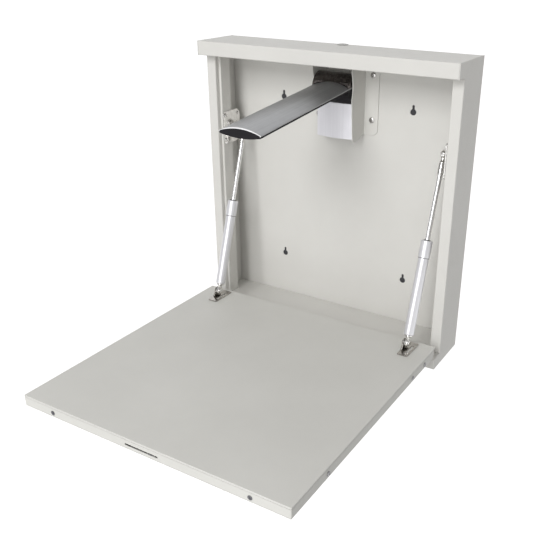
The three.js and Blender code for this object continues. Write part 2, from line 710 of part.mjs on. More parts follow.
function buildFoot(side, table) {
  const name = side > 0 ? 'right' : 'left';
  const x = side * STRUT_X;
  const earInner = x - EYE_THICKNESS / 2 - EAR_GAP;
  const floor = TABLE_TOP + CONTACT_GAP;
  const rear = HINGE_Y - FOOT_BACK_MARGIN;
  const earOuter = earInner - EAR_THICKNESS;
  const base = prism(
    roundedRect(earOuter, earOuter + FOOT_WIDTH, rear - FOOT_LENGTH, rear, [3, 3, 3, 3]),
    'z',
    floor,
    floor + FOOT_THICKNESS,
    4,
  );
  const foot = LOWER_PIN.y;
  const ear = new THREE.Shape();
  ear.moveTo(foot - 17, floor);
  ear.lineTo(foot + 15, floor);
  ear.lineTo(foot + EYE_RADIUS, LOWER_PIN.z);
  ear.absarc(foot, LOWER_PIN.z, EYE_RADIUS, 0, Math.PI, false);
  const upright = prism(ear, 'x', earInner - EAR_THICKNESS, earInner, 8);
  const slotX = earInner + FOOT_WIDTH - EAR_THICKNESS - 7;
  const slot = prism(
    roundedRect(slotX - 2.6, slotX + 2.6, rear - FOOT_LENGTH + 12, rear - 14, Array(4).fill(2.5)),
    'z',
    floor - 2,
    floor + 6,
    4,
  );
  const pinHole = rod('x', PIN_RADIUS + PIN_CLEARANCE, -40, 40, [x, foot, LOWER_PIN.z]);
  addNode(`${name}_lower_strut_bracket`, 'bright_steel', cut(join(base, upright), slot, pinHole), table);
  const headFace = -EYE_THICKNESS / 2 - EAR_GAP - EAR_THICKNESS - CONTACT_GAP;
  const endFace = EYE_THICKNESS / 2 + CONTACT_GAP;
  const profile = [
    [0, headFace - 2.4], [5, headFace - 2.4], [6.4, headFace - 1], [6.4, headFace],
    [PIN_RADIUS, headFace], [PIN_RADIUS, endFace], [6, endFace], [6, endFace + 1.2],
    [4.6, endFace + 2], [0, endFace + 2],
  ];
  addNode(`${name}_lower_strut_pin`, 'bright_steel', turned(profile, 'x', [x, foot, LOWER_PIN.z]), table);
}

// ---- Gas struts ------------------------------------------------------------
// Each strut is drawn upright from its lower eye and then leaned back to its wall plate.
function buildStrut(side) {
  const name = side > 0 ? 'right' : 'left';
  const strut = new THREE.Group();
  strut.position.set(side * STRUT_X, LOWER_PIN.y, LOWER_PIN.z);
  strut.rotation.x = -STRUT_LEAN;
  cabinet.add(strut);
  const add = (part, finish, solid) => addNode(`${name}_strut_${part}`, finish, solid, strut);
  const eyeBore = rod('x', PIN_RADIUS + PIN_CLEARANCE, -20, 20);
  const ring = rod('x', EYE_RADIUS, -EYE_THICKNESS / 2, EYE_THICKNESS / 2);
  const neck = turned([
    [0, EYE_RADIUS * 0.6], [4, EYE_RADIUS * 0.6], [5.4, TUBE_START - 4],
    [7.4, TUBE_START - 3], [7.4, TUBE_START - CONTACT_GAP], [0, TUBE_START - CONTACT_GAP],
  ], 'z');
  add('lower_eye', 'bright_steel', cut(join(ring, neck), eyeBore));
  const bore = TUBE_RADIUS - TUBE_WALL;
  add('tube', 'tube_silver', turned([
    [0, TUBE_START], [TUBE_RADIUS - 1.6, TUBE_START], [TUBE_RADIUS, TUBE_START + 1.6],
    [TUBE_RADIUS, TUBE_END], [bore, TUBE_END], [bore, TUBE_START + 3], [0, TUBE_START + 3],
  ], 'z'));
  const sleeveIn = TUBE_RADIUS + CONTACT_GAP;
  const sleeveOut = sleeveIn + SLEEVE_WALL;
  const rodBore = ROD_RADIUS + PIN_CLEARANCE;
  add('sleeve', 'tube_silver', turned([
    [sleeveIn, TUBE_END - SLEEVE_LENGTH], [sleeveOut, TUBE_END - SLEEVE_LENGTH],
    [sleeveOut, TUBE_END + 1.6], [sleeveOut - 1.6, TUBE_END + 3.4], [rodBore, TUBE_END + 3.4],
    [rodBore, TUBE_END + CONTACT_GAP], [sleeveIn, TUBE_END + CONTACT_GAP],
    [sleeveIn, TUBE_END - SLEEVE_LENGTH],
  ], 'z'));
  const rodLow = TUBE_END - ROD_IN_TUBE;
  const rodHigh = STRUT_LENGTH - FITTING_LENGTH + 8;
  const piston = rod('z', bore - CONTACT_GAP, rodLow - PISTON_LENGTH, rodLow - CONTACT_GAP);
  add('piston', 'black_plastic', piston);
  add('rod', 'bright_steel', rod('z', ROD_RADIUS, rodLow, rodHigh));
  const top = STRUT_LENGTH;
  const fittingLow = top - FITTING_LENGTH;
  const sleeve = turned([
    [0, fittingLow], [FITTING_RADIUS - 0.8, fittingLow], [FITTING_RADIUS, fittingLow + 0.8],
    [FITTING_RADIUS, top - 16], [4.6, top - 12], [4.2, top - EYE_RADIUS * 0.6],
    [0, top - EYE_RADIUS * 0.6],
  ], 'z');
  const eye = rod('x', EYE_RADIUS, -EYE_THICKNESS / 2, EYE_THICKNESS / 2, [0, 0, top]);
  const axis = side > 0 ? 'x' : '-x';
  const pinEnd = wallPlateFace() - BOSS_HEIGHT - EAR_GAP - STRUT_X;
  const pin = turned([
    [0, -EYE_THICKNESS / 2 - 2.2], [4.6, -EYE_THICKNESS / 2 - 2.2], [5.8, -EYE_THICKNESS / 2 - 1],
    [5.8, 0], [PIN_RADIUS, 0], [PIN_RADIUS, pinEnd], [0, pinEnd],
  ], axis, [0, 0, top]);
  const socket = rod('z', ROD_RADIUS + CONTACT_GAP, fittingLow - 1, rodHigh + CONTACT_GAP);
  add('rod_eye', 'bright_steel', cut(join(sleeve, eye, pin), socket));
}

// ---- Arm -------------------------------------------------------------------
function arcHeight(halfWidth, rise, x) {
  const radius = (halfWidth * halfWidth + rise * rise) / (2 * rise);
  return Math.sqrt(radius * radius - x * x) - (radius - rise);
}

function arc(halfWidth, rise, base, steps = 18) {
  return Array.from({ length: steps + 1 }, (_, i) => {
    const x = -halfWidth + (2 * halfWidth * i) / steps;
    return [x, base + Math.sign(rise) * arcHeight(halfWidth, Math.abs(rise), x)];
  });
}

const LIP_DROP = 1.6;

function shellSection() {
  const half = ARM_WIDTH / 2;
  const inner = half - 1.8;
  const rise = ARM_THICKNESS / 2;
  return shapeFrom([
    [-inner, -LIP_DROP], [-half, -LIP_DROP], ...arc(half, rise, 0),
    [half, -LIP_DROP], [inner, -LIP_DROP], ...arc(inner, rise - ARM_SHELL, 0).reverse(),
  ]);
}

function coreSection(grow = 0) {
  const half = ARM_WIDTH / 2 - 0.2 + grow;
  const inner = ARM_WIDTH / 2 - 1.8 - CONTACT_GAP;
  const rise = ARM_THICKNESS / 2 - ARM_SHELL - CONTACT_GAP;
  const low = -LIP_DROP - CONTACT_GAP + grow;
  const wall = low - ARM_CORE_WALL - grow;
  return shapeFrom([
    ...arc(inner, rise + grow, 0), [inner, low], [half, low],
    ...arc(half, -(ARM_THICKNESS / 2 + wall), wall).reverse(),
    [-half, low], [-inner, low],
  ]);
}
// The whole lens of the arm, for what closes round it.
function armSection(grow) {
  const half = ARM_WIDTH / 2 + grow;
  const wall = -LIP_DROP - CONTACT_GAP - ARM_CORE_WALL;
  return shapeFrom([
    ...arc(half, ARM_THICKNESS / 2 + grow, 0), [half, wall],
    ...arc(half, -(ARM_THICKNESS / 2 + wall) - grow, wall).reverse(), [-half, 0],
  ]);
}

// The hood over the arm's tail: a half ellipse in the (y, z) plane of the arm.
function hoodSection() {
  const steps = 28;
  const points = [[HOOD_REAR_SHIFT + HOOD_REACH, 0], [-HUB_CHEEK, 0], [-HUB_CHEEK, HOOD_BASE]];
  for (let i = 0; i <= steps; i += 1) {
    const angle = Math.PI * (1 - i / steps);
    points.push([
      HOOD_REAR_SHIFT + HOOD_REACH * Math.cos(angle),
      HOOD_BASE + HOOD_HEIGHT * Math.sin(angle),
    ]);
  }
  return shapeFrom(points);
}

function buildArm() {
  const arm = new THREE.Group();
  arm.position.set(0, -ARM_PIVOT_DEPTH, ARM_PIVOT_HEIGHT);
  arm.rotation.x = THREE.MathUtils.degToRad(ARM_DROOP);
  cabinet.add(arm);
  const raised = (solid) => solid.translate([0, 0, ARM_OFFSET]);
  const along = (section, from, to) => raised(prism(section, 'y', from, to));
  addNode('arm_shell', 'satin_aluminium', along(shellSection(), -ARM_LENGTH, ARM_TAIL), arm);
  const capRear = -ARM_LENGTH + ARM_CAP_THICKNESS;
  addNode('arm_end_cap', 'black_plastic', along(coreSection(), -ARM_LENGTH + 0.4, capRear), arm);
  addNode('arm_core', 'black_plastic', along(coreSection(), capRear + CONTACT_GAP, ARM_TAIL), arm);
  const half = ARM_WIDTH / 2 - ARM_SIDE_GAP;
  const barrel = rod('x', HUB_RADIUS, -half, half);
  const cheek = block(-half, half, -HUB_CHEEK, HUB_RADIUS, 0, ARM_OFFSET);
  const hood = prism(hoodSection(), 'x', -half, half);
  const lens = raised(prism(armSection(CONTACT_GAP), 'y', -ARM_LENGTH, ARM_TAIL + CONTACT_GAP));
  const bore = rod('x', ARM_PIN_RADIUS + PIN_CLEARANCE, -half - 5, half + 5);
  addNode('arm_hub', 'black_plastic', cut(join(barrel, cheek, hood), lens, bore), arm);
}

// ---- Arm bracket -----------------------------------------------------------
// A cheek of the bracket in the (y, z) plane: its front edge is scalloped where the arm
// turns, and a cheek that the silver cover wraps is cut back below the cover's top.
function cheekOutline(wrapped) {
  const notchTop = ARM_PIVOT_HEIGHT + 50;
  const notchLow = ARM_PIVOT_HEIGHT - 5;
  const notchDepth = 7;
  const corner = 14;
  const lip = -BRACKET_FRONT_TOP;
  const heel = -BRACKET_FRONT_BOTTOM;
  const rear = PANEL_FRONT - 1;
  const cheek = new THREE.Shape();
  cheek.moveTo(rear, BRACKET_BOTTOM);
  if (wrapped) {
    const cutBack = -COVER_EDGE_DEPTH + COVER_RETURN + CONTACT_GAP;
    cheek.lineTo(cutBack, BRACKET_BOTTOM);
    cheek.lineTo(cutBack, COVER_TOP + 1);
    cheek.lineTo(lip + 2, COVER_TOP + 1);
  } else {
    cheek.lineTo(heel + CHEEK_DROP, BRACKET_BOTTOM - CHEEK_DROP);
    cheek.lineTo(heel, BRACKET_BOTTOM - CHEEK_DROP + 3);
  }
  cheek.lineTo(lip + 2, notchLow);
  cheek.quadraticCurveTo(lip + notchDepth + 3, (notchTop + notchLow) / 2, lip, notchTop);
  cheek.lineTo(lip, BRACKET_TOP - corner);
  cheek.absarc(lip + corner, BRACKET_TOP - corner, corner, Math.PI, Math.PI / 2, true);
  cheek.lineTo(rear, BRACKET_TOP);
  return cheek;
}

function buildArmBracket() {
  const half = BRACKET_INNER + BRACKET_SHEET + BRACKET_FLANGE;
  const front = PANEL_FRONT - BRACKET_SHEET;
  const plate = prism(
    roundedRect(-half, half, BRACKET_BOTTOM, BRACKET_TOP, [12, 12, 12, 12]),
    'y',
    front,
    PANEL_FRONT,
    5,
  );
  const cheeks = [
    prism(cheekOutline(false), 'x', BRACKET_INNER, BRACKET_INNER + BRACKET_SHEET, 8),
    prism(cheekOutline(true), 'x', -BRACKET_INNER - BRACKET_SHEET, -BRACKET_INNER, 8),
  ];
  const pivot = [0, -ARM_PIVOT_DEPTH, ARM_PIVOT_HEIGHT];
  const pinHole = rod('x', ARM_PIN_RADIUS + PIN_CLEARANCE, -half, half, pivot);
  const holes = bracketScrewPlaces().map(([x, z]) => rod(
    '-y',
    SCREW_SHANK + SCREW_CLEARANCE,
    -9,
    9,
    [x, front, z],
    16,
  ));
  addNode('arm_bracket', 'cabinet_paint', cut(join(plate, ...cheeks), pinHole, ...holes));
  bracketScrewPlaces().forEach(([x, z], i) => {
    const seat = [x, front - CONTACT_GAP, z];
    addNode(`arm_bracket_screw_${i + 1}`, 'bright_steel', shortScrew(seat));
  });
  const face = BRACKET_INNER + BRACKET_SHEET;
  addNode('arm_pivot_pin', 'bright_steel', rod('x', ARM_PIN_RADIUS, -face, face, pivot));
}

// The bracket's screws end inside its plate, in front of the back panel.
function shortScrew(seat) {
  const [x, y, z] = seat;
  const whole = screw('-y', seat, BRACKET_SCREW_RISE, BRACKET_SCREW_HEAD);
  return cut(whole, block(x - 9, x + 9, y + BRACKET_SHEET, y + 30, z - 9, z + 9));
}

function buildArmCover() {
  const right = BRACKET_INNER - CONTACT_GAP;
  const half = (COVER_LEFT + right) / 2;
  const middle = right - half;
  const rise = COVER_BULGE_DEPTH - COVER_EDGE_DEPTH;
  const rear = -COVER_EDGE_DEPTH + COVER_RETURN;
  const bowed = (width, inset) => arc(width, rise, 0)
    .map(([x, bulge]) => [middle + x, -COVER_EDGE_DEPTH - bulge + inset]);
  const section = shapeFrom([
    ...bowed(half, 0), [right, rear], [right - COVER_WALL, rear],
    ...bowed(half - COVER_WALL, COVER_WALL).reverse(),
    [COVER_WALL - COVER_LEFT, rear], [-COVER_LEFT, rear],
  ]);
  addNode('arm_bracket_cover', 'pale_aluminium', prism(section, 'z', COVER_BOTTOM, COVER_TOP));
}

// ---- Put together ----------------------------------------------------------
buildBackPanel();
buildSideWall(-1);
buildSideWall(1);
buildTopCap();
buildBottomApron();
buildPlug();
const table = new THREE.Group();
cabinet.add(table);
buildHinge(table);
buildTablePan(table);
buildTableCover(table);
buildStiffener(table);
buildTableScrews(table);
buildLatch(table);
for (const side of [-1, 1]) {
  buildWallPlate(side);
  buildFoot(side, table);
  buildStrut(side);
}
buildArm();
buildArmBracket();
buildArmCover();

export default root;
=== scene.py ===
"""A wall cabinet of folded sheet steel with a fold-down changing table on two gas struts
and a folding arm of lens section. Metres, +X right, +Y into the wall, +Z up."""

import json
import math

import bmesh
import bpy
import numpy as np
from mathutils import Matrix, Vector
from mathutils.geometry import tessellate_polygon


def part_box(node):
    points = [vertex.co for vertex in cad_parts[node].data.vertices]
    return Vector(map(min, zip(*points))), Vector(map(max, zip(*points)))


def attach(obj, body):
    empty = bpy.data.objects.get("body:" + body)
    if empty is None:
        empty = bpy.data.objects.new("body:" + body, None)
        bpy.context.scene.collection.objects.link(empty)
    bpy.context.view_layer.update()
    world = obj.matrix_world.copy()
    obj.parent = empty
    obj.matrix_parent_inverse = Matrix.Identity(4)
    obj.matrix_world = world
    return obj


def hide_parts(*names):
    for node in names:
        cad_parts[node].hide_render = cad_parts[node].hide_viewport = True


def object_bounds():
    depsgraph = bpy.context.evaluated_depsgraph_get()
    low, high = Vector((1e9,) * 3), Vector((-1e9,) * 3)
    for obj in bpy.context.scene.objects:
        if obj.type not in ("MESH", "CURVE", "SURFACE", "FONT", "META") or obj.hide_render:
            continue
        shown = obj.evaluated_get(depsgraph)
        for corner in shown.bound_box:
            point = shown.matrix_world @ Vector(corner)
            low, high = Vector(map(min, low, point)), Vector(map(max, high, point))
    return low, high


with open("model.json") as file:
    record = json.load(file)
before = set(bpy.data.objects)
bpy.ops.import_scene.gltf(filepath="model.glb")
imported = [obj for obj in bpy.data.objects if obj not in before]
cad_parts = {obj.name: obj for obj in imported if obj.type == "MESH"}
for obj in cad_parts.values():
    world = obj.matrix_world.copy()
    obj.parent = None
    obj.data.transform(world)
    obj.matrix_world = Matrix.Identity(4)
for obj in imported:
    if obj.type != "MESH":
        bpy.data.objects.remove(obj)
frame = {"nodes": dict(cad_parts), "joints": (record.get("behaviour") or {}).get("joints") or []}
CAD_BOUNDS = [list(corner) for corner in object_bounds()]

MM = 0.001
CABINET, TABLE, ARM = "cabinet", "table", "arm"
SIDES = {"left": -1, "right": 1}
PLAY = 0.3 * MM  # clearance between neighbouring pieces
SHARP_ANGLE = 38  # degrees between faces from which an edge stays sharp
X, Y, Z = np.eye(3)


def joint(name):
    """The record's joint of that name."""
    return next(j for j in frame["joints"] if j["name"] == name)


def placed(name, data):
    """An object of that name and data, in the scene."""
    thing = bpy.data.objects.new(name, data)
    bpy.context.scene.collection.objects.link(thing)
    return thing


# ---------------------------------------------------------------- the camera

def stand_camera():
    """Puts the camera at the viewing angle: its heading, height, roll and shift."""
    heading, height, roll = (math.radians(a) for a in (30.317, 25.169, 0.538))
    place = np.array([0.764136, -1.435811, 0.511338])
    back = np.array([
        math.sin(heading) * math.cos(height),
        -math.cos(heading) * math.cos(height),
        math.sin(height),
    ])
    level = np.cross(-back, Z)
    level /= np.linalg.norm(level)
    upward = np.cross(level, -back)
    right = math.cos(roll) * level + math.sin(roll) * upward
    up = math.cos(roll) * upward - math.sin(roll) * level
    data = bpy.data.cameras.new("camera")
    data.lens = 48.907
    data.sensor_width = 36.0
    data.shift_x = -0.0825
    data.shift_y = 0.0345
    data.clip_start, data.clip_end = 0.05, 50
    camera = placed("camera", data)
    matrix = np.eye(4)
    matrix[:3, 0], matrix[:3, 1], matrix[:3, 2], matrix[:3, 3] = right, up, back, place
    camera.matrix_world = Matrix(matrix.tolist())
    bpy.context.scene.camera = camera


# ------------------------------------------------------- outlines and surfaces

def arc(centre, radius, start, end, steps=8):
    """Points on a circle: centre + radius (cos a, sin a), a running from start to end degrees."""
    angle = np.radians(np.linspace(start, end, steps + 1))
    return np.array(centre) + radius * np.stack([np.cos(angle), np.sin(angle)], 1)


def fillet(points, radius, closed=True, steps=6):
    """Rounds each corner of a line: the corner P gives way to the circle arc of that radius
    that touches both edges, radius tan(turn / 2) from P. radius may differ per corner."""
    points = np.asarray(points, float)
    count = len(points)
    radii = np.broadcast_to(np.asarray(radius, float), (count,))
    pieces = []
    for i in range(count):
        if (not closed and i in (0, count - 1)) or radii[i] <= 0:
            pieces.append(points[i:i + 1])
            continue
        before, here, after = points[i - 1], points[i], points[(i + 1) % count]
        a = (here - before) / np.linalg.norm(here - before)
        b = (after - here) / np.linalg.norm(after - here)
        turn = math.atan2(a[0] * b[1] - a[1] * b[0], a @ b)
        if abs(turn) < 1e-4:
            pieces.append(points[i:i + 1])
            continue
        start = here - a * radii[i] * math.tan(abs(turn) / 2)
        side = math.copysign(1, turn)
        spoke = np.array([a[1], -a[0]]) * side * radii[i]
        angle = turn * np.linspace(0, 1, steps + 1)[:, None]
        turned_spoke = np.hstack([
            spoke[0] * np.cos(angle) - spoke[1] * np.sin(angle),
            spoke[0] * np.sin(angle) + spoke[1] * np.cos(angle),
        ])
        pieces.append(start - spoke + turned_spoke)
    return np.vstack(pieces)


def rectangle(a0, a1, b0, b1, radius=0.0, steps=6):
    """A rectangle's outline, anticlockwise, with rounded corners (one radius or four)."""
    corners = [(a0, b0), (a1, b0), (a1, b1), (a0, b1)]
    return fillet(corners, radius, steps=steps)


def circle(centre, radius, steps=32):
    """A full circle of points about a centre."""
    return arc(centre, radius, 0, 360, steps)[:-1]


def bent_sheet(line, thickness, bend, steps=6):
    """The outline of a folded sheet: its middle line with filleted bends, moved half the
    thickness to the left and, run backwards, half the thickness to the right."""
    middle = fillet(line, bend, closed=False, steps=steps)
    heading = np.gradient(middle, axis=0)
    heading[0], heading[-1] = middle[1] - middle[0], middle[-1] - middle[-2]
    heading /= np.linalg.norm(heading, axis=1)[:, None]
    normal = np.stack([-heading[:, 1], heading[:, 0]], 1) * thickness / 2
    return np.vstack([middle + normal, (middle - normal)[::-1]])


def signed_area(ring):
    """Half the sum of the cross products of neighbouring points; positive anticlockwise."""
    following = np.roll(ring, -1, axis=0)
    return 0.5 * np.sum(ring[:, 0] * following[:, 1] - following[:, 0] * ring[:, 1])


def inward(ring):
    """For each point, the step that moves both of its edges one unit to their left."""
    before = ring - np.roll(ring, 1, axis=0)
    after = np.roll(before, -1, axis=0)
    left = [np.stack([-e[:, 1], e[:, 0]], 1) / np.linalg.norm(e, axis=1)[:, None] for e in (before, after)]
    share = 1 + np.sum(left[0] * left[1], axis=1)
    return (left[0] + left[1]) / np.maximum(share, 0.4)[:, None]


def grid_faces(rows, columns, wrap):
    """Quads between the neighbouring points of a rows by columns grid."""
    r = np.arange(rows - 1)[:, None]
    c = np.arange(columns if wrap else columns - 1)[None, :]
    nxt = (c + 1) % columns
    corners = [r * columns + c, r * columns + nxt, (r + 1) * columns + nxt, (r + 1) * columns + c]
    return np.stack(corners, -1).reshape(-1, 4)


class Surface:
    """Points and faces that grow piece by piece and become one mesh."""

    def __init__(self):
        self.points, self.faces, self.count = [], [], 0

    def add(self, points, *face_sets):
        self.points.append(points)
        for faces in face_sets:
            self.faces.extend((np.asarray(faces) + self.count).tolist())
        self.count += len(points)
        return self

    def slab(self, rings, place, low, high, edge=0.0, steps=3):
        """A flat outline with holes carried from low to high, its edges rounded: at the
        angle q of a quarter turn the outline is inset edge (1 - sin q) at low + edge (1 - cos q)."""
        origin, a_axis, b_axis, t_axis = place
        rings = [np.asarray(r, float) for r in rings]
        rings = [r if (signed_area(r) > 0) == (i == 0) else r[::-1] for i, r in enumerate(rings)]
        flip = np.dot(np.cross(a_axis, b_axis), t_axis) < 0
        quarter = np.radians(np.linspace(0, 90, steps + 1)) if edge > 0 else np.array([math.pi / 2])
        inset = edge * (1 - np.sin(quarter))
        rise = edge * (1 - np.cos(quarter))
        inset = np.concatenate([inset, inset[::-1]])
        level = np.concatenate([low + rise, (high - rise)[::-1]])
        shown, bottoms, tops = [], [], []
        for ring in rings:
            step = inward(ring)
            flat = ring[None] + step[None] * inset[:, None, None]
            where = (
                origin
                + flat[..., :1] * a_axis
                + flat[..., 1:] * b_axis
                + level[:, None, None] * t_axis
            )
            count = len(ring)
            base = self.count
            sides = grid_faces(len(level), count, True)
            self.add(where.reshape(-1, 3), sides[:, ::-1] if flip else sides)
            shown.append([Vector((x, y, 0)) for x, y in flat[0]])
            bottoms.append(base + np.arange(count))
            tops.append(base + (len(level) - 1) * count + np.arange(count))
        triangles = np.array(tessellate_polygon(shown))
        corners = np.array([tuple(v)[:2] for ring in shown for v in ring])[triangles]
        first, second = corners[:, 1] - corners[:, 0], corners[:, 2] - corners[:, 0]
        wrong = first[:, 0] * second[:, 1] - first[:, 1] * second[:, 0] < 0
        triangles[wrong] = triangles[wrong][:, ::-1]
        if flip:
            triangles = triangles[:, ::-1]
        self.faces.extend(np.concatenate(tops)[triangles].tolist())
        self.faces.extend(np.concatenate(bottoms)[triangles][:, ::-1].tolist())
        return self

    def turned(self, profile, origin, axis, segments=48):
        """A profile of (radius, height) points turned about an axis: the point at angle a is
        origin + height axis + radius (cos a, sin a) across it. A radius of 0 closes the end."""
        axis = np.asarray(axis, float) / np.linalg.norm(axis)
        side = np.cross(axis, X if abs(axis[0]) < 0.7 else Y)
        side /= np.linalg.norm(side)
        other = np.cross(axis, side)
        profile = np.asarray(profile, float)
        angle = np.linspace(0, 2 * math.pi, segments, endpoint=False)
        around = np.cos(angle)[:, None] * side + np.sin(angle)[:, None] * other
        closed = np.allclose(profile[0], profile[-1])
        body = profile[:-1] if closed else profile
        points = origin + body[:, 1, None, None] * axis + body[:, 0, None, None] * around[None]
        rows = len(body)
        faces = grid_faces(rows, segments, True)
        if closed:
            last = (rows - 1) * segments
            ring = np.arange(segments)
            nxt = (ring + 1) % segments
            faces = np.vstack([faces, np.stack([last + ring, last + nxt, nxt, ring], 1)])
        outline = body if closed else np.vstack([body, [[0, body[-1, 1]], [0, body[0, 1]]]])
        following = np.roll(outline, -1, axis=0)
        clockwise = np.sum(outline[:, 0] * following[:, 1] - following[:, 0] * outline[:, 1]) < 0
        if clockwise:
            faces = faces[:, ::-1]
        self.add(points.reshape(-1, 3), faces)
        return self

    def lathed(self, points, radii, origin, axis, segments=48, steps=4):
        """Turns a profile, run from one end of the axis to the other, with rounded corners."""
        return self.turned(fillet(points, radii, closed=False, steps=steps), origin, axis, segments)

    def hoop(self, points, radii, origin, axis, segments, steps):
        """Turns a closed section that stands clear of the axis, with rounded corners."""
        ring = fillet(points, radii, steps=steps)
        return self.turned(np.vstack([ring, ring[:1]]), origin, axis, segments)

    def tray(self, x0, x1, y0, y1, profile, corner, steps=8):
        """A profile of (inset, height) points carried round a rectangle whose corners have a
        radius of corner less the inset; its first and last rings are filled."""
        rows = []
        for inset, height in profile:
            radius = max(corner - inset, corner * 0.15)
            ring = rectangle(x0 + inset, x1 - inset, y0 + inset, y1 - inset, radius, steps)
            rows.append(np.column_stack([ring, np.full(len(ring), height)]))
        count = len(rows[0])
        base = self.count
        self.add(np.vstack(rows), grid_faces(len(rows), count, True)[:, ::-1])
        self.faces.append((base + np.arange(count)).tolist())
        self.faces.append((base + (len(rows) - 1) * count + np.arange(count))[::-1].tolist())
        return self

    def mesh(self, name):
        """The points and faces as a mesh."""
        mesh = bpy.data.meshes.new(name)
        mesh.from_pydata(np.vstack(self.points).tolist(), [], self.faces)
        return mesh

    def piece(self, name, material, body, slot, nodes=(), sharp=SHARP_ANGLE):
        """Makes the mesh, smooth but for its sharp edges, and ties it to the frame."""
        mesh = self.mesh(name)
        merge_poles(mesh)
        mesh.shade_smooth()
        mesh.set_sharp_from_angle(angle=math.radians(sharp))
        mesh.materials.append(material)
        thing = placed(name, mesh)
        weighted = thing.modifiers.new("flat faces stay flat", "WEIGHTED_NORMAL")
        weighted.keep_sharp = True
        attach(thing, body)
        if nodes:
            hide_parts(*nodes)
        return thing


def merge_poles(mesh):
    """Joins the points that a profile's ends put on one spot."""
    work = bmesh.new()
    work.from_mesh(mesh)
    bmesh.ops.remove_doubles(work, verts=work.verts, dist=1e-6)
    bmesh.ops.dissolve_degenerate(work, edges=work.edges, dist=1e-7)
    work.to_mesh(mesh)
    work.free()


def carve(thing, *cutters):
    """Cuts other surfaces out of a piece, once, and drops the cutters."""
    for cutter in cutters:
        tool = placed("cutter", cutter.mesh("cutter"))
        cut = thing.modifiers.new("cut", "BOOLEAN")
        cut.operation, cut.solver, cut.object = "DIFFERENCE", "EXACT", tool
        while thing.modifiers[0] != cut:
            thing.modifiers.move(thing.modifiers.find("cut"), 0)
        bpy.context.view_layer.update()
        shaped = bpy.data.meshes.new_from_object(
            thing.evaluated_get(bpy.context.evaluated_depsgraph_get()))
        thing.modifiers.remove(cut)
        thing.data = shaped
        bpy.data.objects.remove(tool)
    thing.data.set_sharp_from_angle(angle=math.radians(SHARP_ANGLE))
    return thing


XZ = (np.zeros(3), X, Z, Y)
YZ = (np.zeros(3), Y, Z, X)
XY = (np.zeros(3), X, Y, Z)


# ------------------------------------------------------------------ materials

def new_group(name, inputs, outputs):
    """An empty shader group with float inputs and (kind, name) outputs."""
    group = bpy.data.node_groups.new(name, "ShaderNodeTree")
    for label, default in inputs:
        socket = group.interface.new_socket(label, in_out="INPUT", socket_type="NodeSocketFloat")
        socket.default_value = default
    for kind, label in outputs:
        group.interface.new_socket(label, in_out="OUTPUT", socket_type=kind)
    return group, group.nodes.new("NodeGroupInput"), group.nodes.new("NodeGroupOutput")


def math_node(tree, operation, first, second):
    """A Math node; each operand is a socket or a number."""
    node = tree.nodes.new("ShaderNodeMath")
    node.operation = operation
    for socket, value in zip(node.inputs, (first, second)):
        if isinstance(value, (int, float)):
            socket.default_value = value
        else:
            tree.links.new(value, socket)
    return node.outputs[0]


def noise(tree, vector, scale, detail=2.0, rough=0.5):
    """A Noise texture on a vector; scale is a number or a socket."""
    node = tree.nodes.new("ShaderNodeTexNoise")
    node.inputs["Detail"].default_value = detail
    node.inputs["Roughness"].default_value = rough
    tree.links.new(vector, node.inputs["Vector"])
    if isinstance(scale, (int, float)):
        node.inputs["Scale"].default_value = scale
    else:
        tree.links.new(scale, node.inputs["Scale"])
    return node.outputs["Fac"]


def object_coordinates(tree):
    """The piece's own coordinates, in metres."""
    return tree.nodes.new("ShaderNodeTexCoord").outputs["Object"]


def ramp(tree, value, low, high, out_low=0.0, out_high=1.0):
    """Maps low..high to out_low..out_high, clamped."""
    node = tree.nodes.new("ShaderNodeMapRange")
    for label, number in (("From Min", low), ("From Max", high), ("To Min", out_low), ("To Max", out_high)):
        node.inputs[label].default_value = number
    tree.links.new(value, node.inputs["Value"])
    return node.outputs["Result"]


def make_coat_group():
    """Powder coat: fine orange peel over a broader ripple, with a slow mottle."""
    group, given, out = new_group(
        "powder_coat_skin",
        [("Peel Size", 900.0), ("Ripple Size", 160.0), ("Mottle Size", 5.0)],
        [("NodeSocketFloat", "Height"), ("NodeSocketFloat", "Mottle"), ("NodeSocketFloat", "Speck")],
    )
    where = object_coordinates(group)
    peel = noise(group, where, given.outputs["Peel Size"], 2.0, 0.55)
    ripple = noise(group, where, given.outputs["Ripple Size"], 1.0)
    height = math_node(group, "ADD", peel, math_node(group, "MULTIPLY", ripple, 1.6))
    mottle = noise(group, where, given.outputs["Mottle Size"], 4.0, 0.6)
    speck = ramp(group, noise(group, where, 1400.0, 0.0), 0.60, 0.74)
    group.links.new(height, out.inputs["Height"])
    group.links.new(mottle, out.inputs["Mottle"])
    group.links.new(speck, out.inputs["Speck"])
    return group


def make_grain_group():
    """Drawn or brushed metal: noise stretched along one direction, fine and coarse."""
    group, given, out = new_group(
        "drawn_grain",
        [("Across", 2600.0), ("Along", 22.0)],
        [("NodeSocketFloat", "Height"), ("NodeSocketFloat", "Streak")],
    )
    group.interface.new_socket("Vector", in_out="INPUT", socket_type="NodeSocketVector")
    split = group.nodes.new("ShaderNodeSeparateXYZ")
    group.links.new(given.outputs["Vector"], split.inputs[0])
    join = group.nodes.new("ShaderNodeCombineXYZ")
    for label, size in (("X", "Across"), ("Y", "Across"), ("Z", "Along")):
        scaled = math_node(group, "MULTIPLY", split.outputs[label], given.outputs[size])
        group.links.new(scaled, join.inputs[label])
    fine = noise(group, join.outputs[0], 1.0, 3.0, 0.6)
    coarse = noise(group, join.outputs[0], 0.12, 2.0, 0.5)
    group.links.new(fine, out.inputs["Height"])
    group.links.new(coarse, out.inputs["Streak"])
    return group


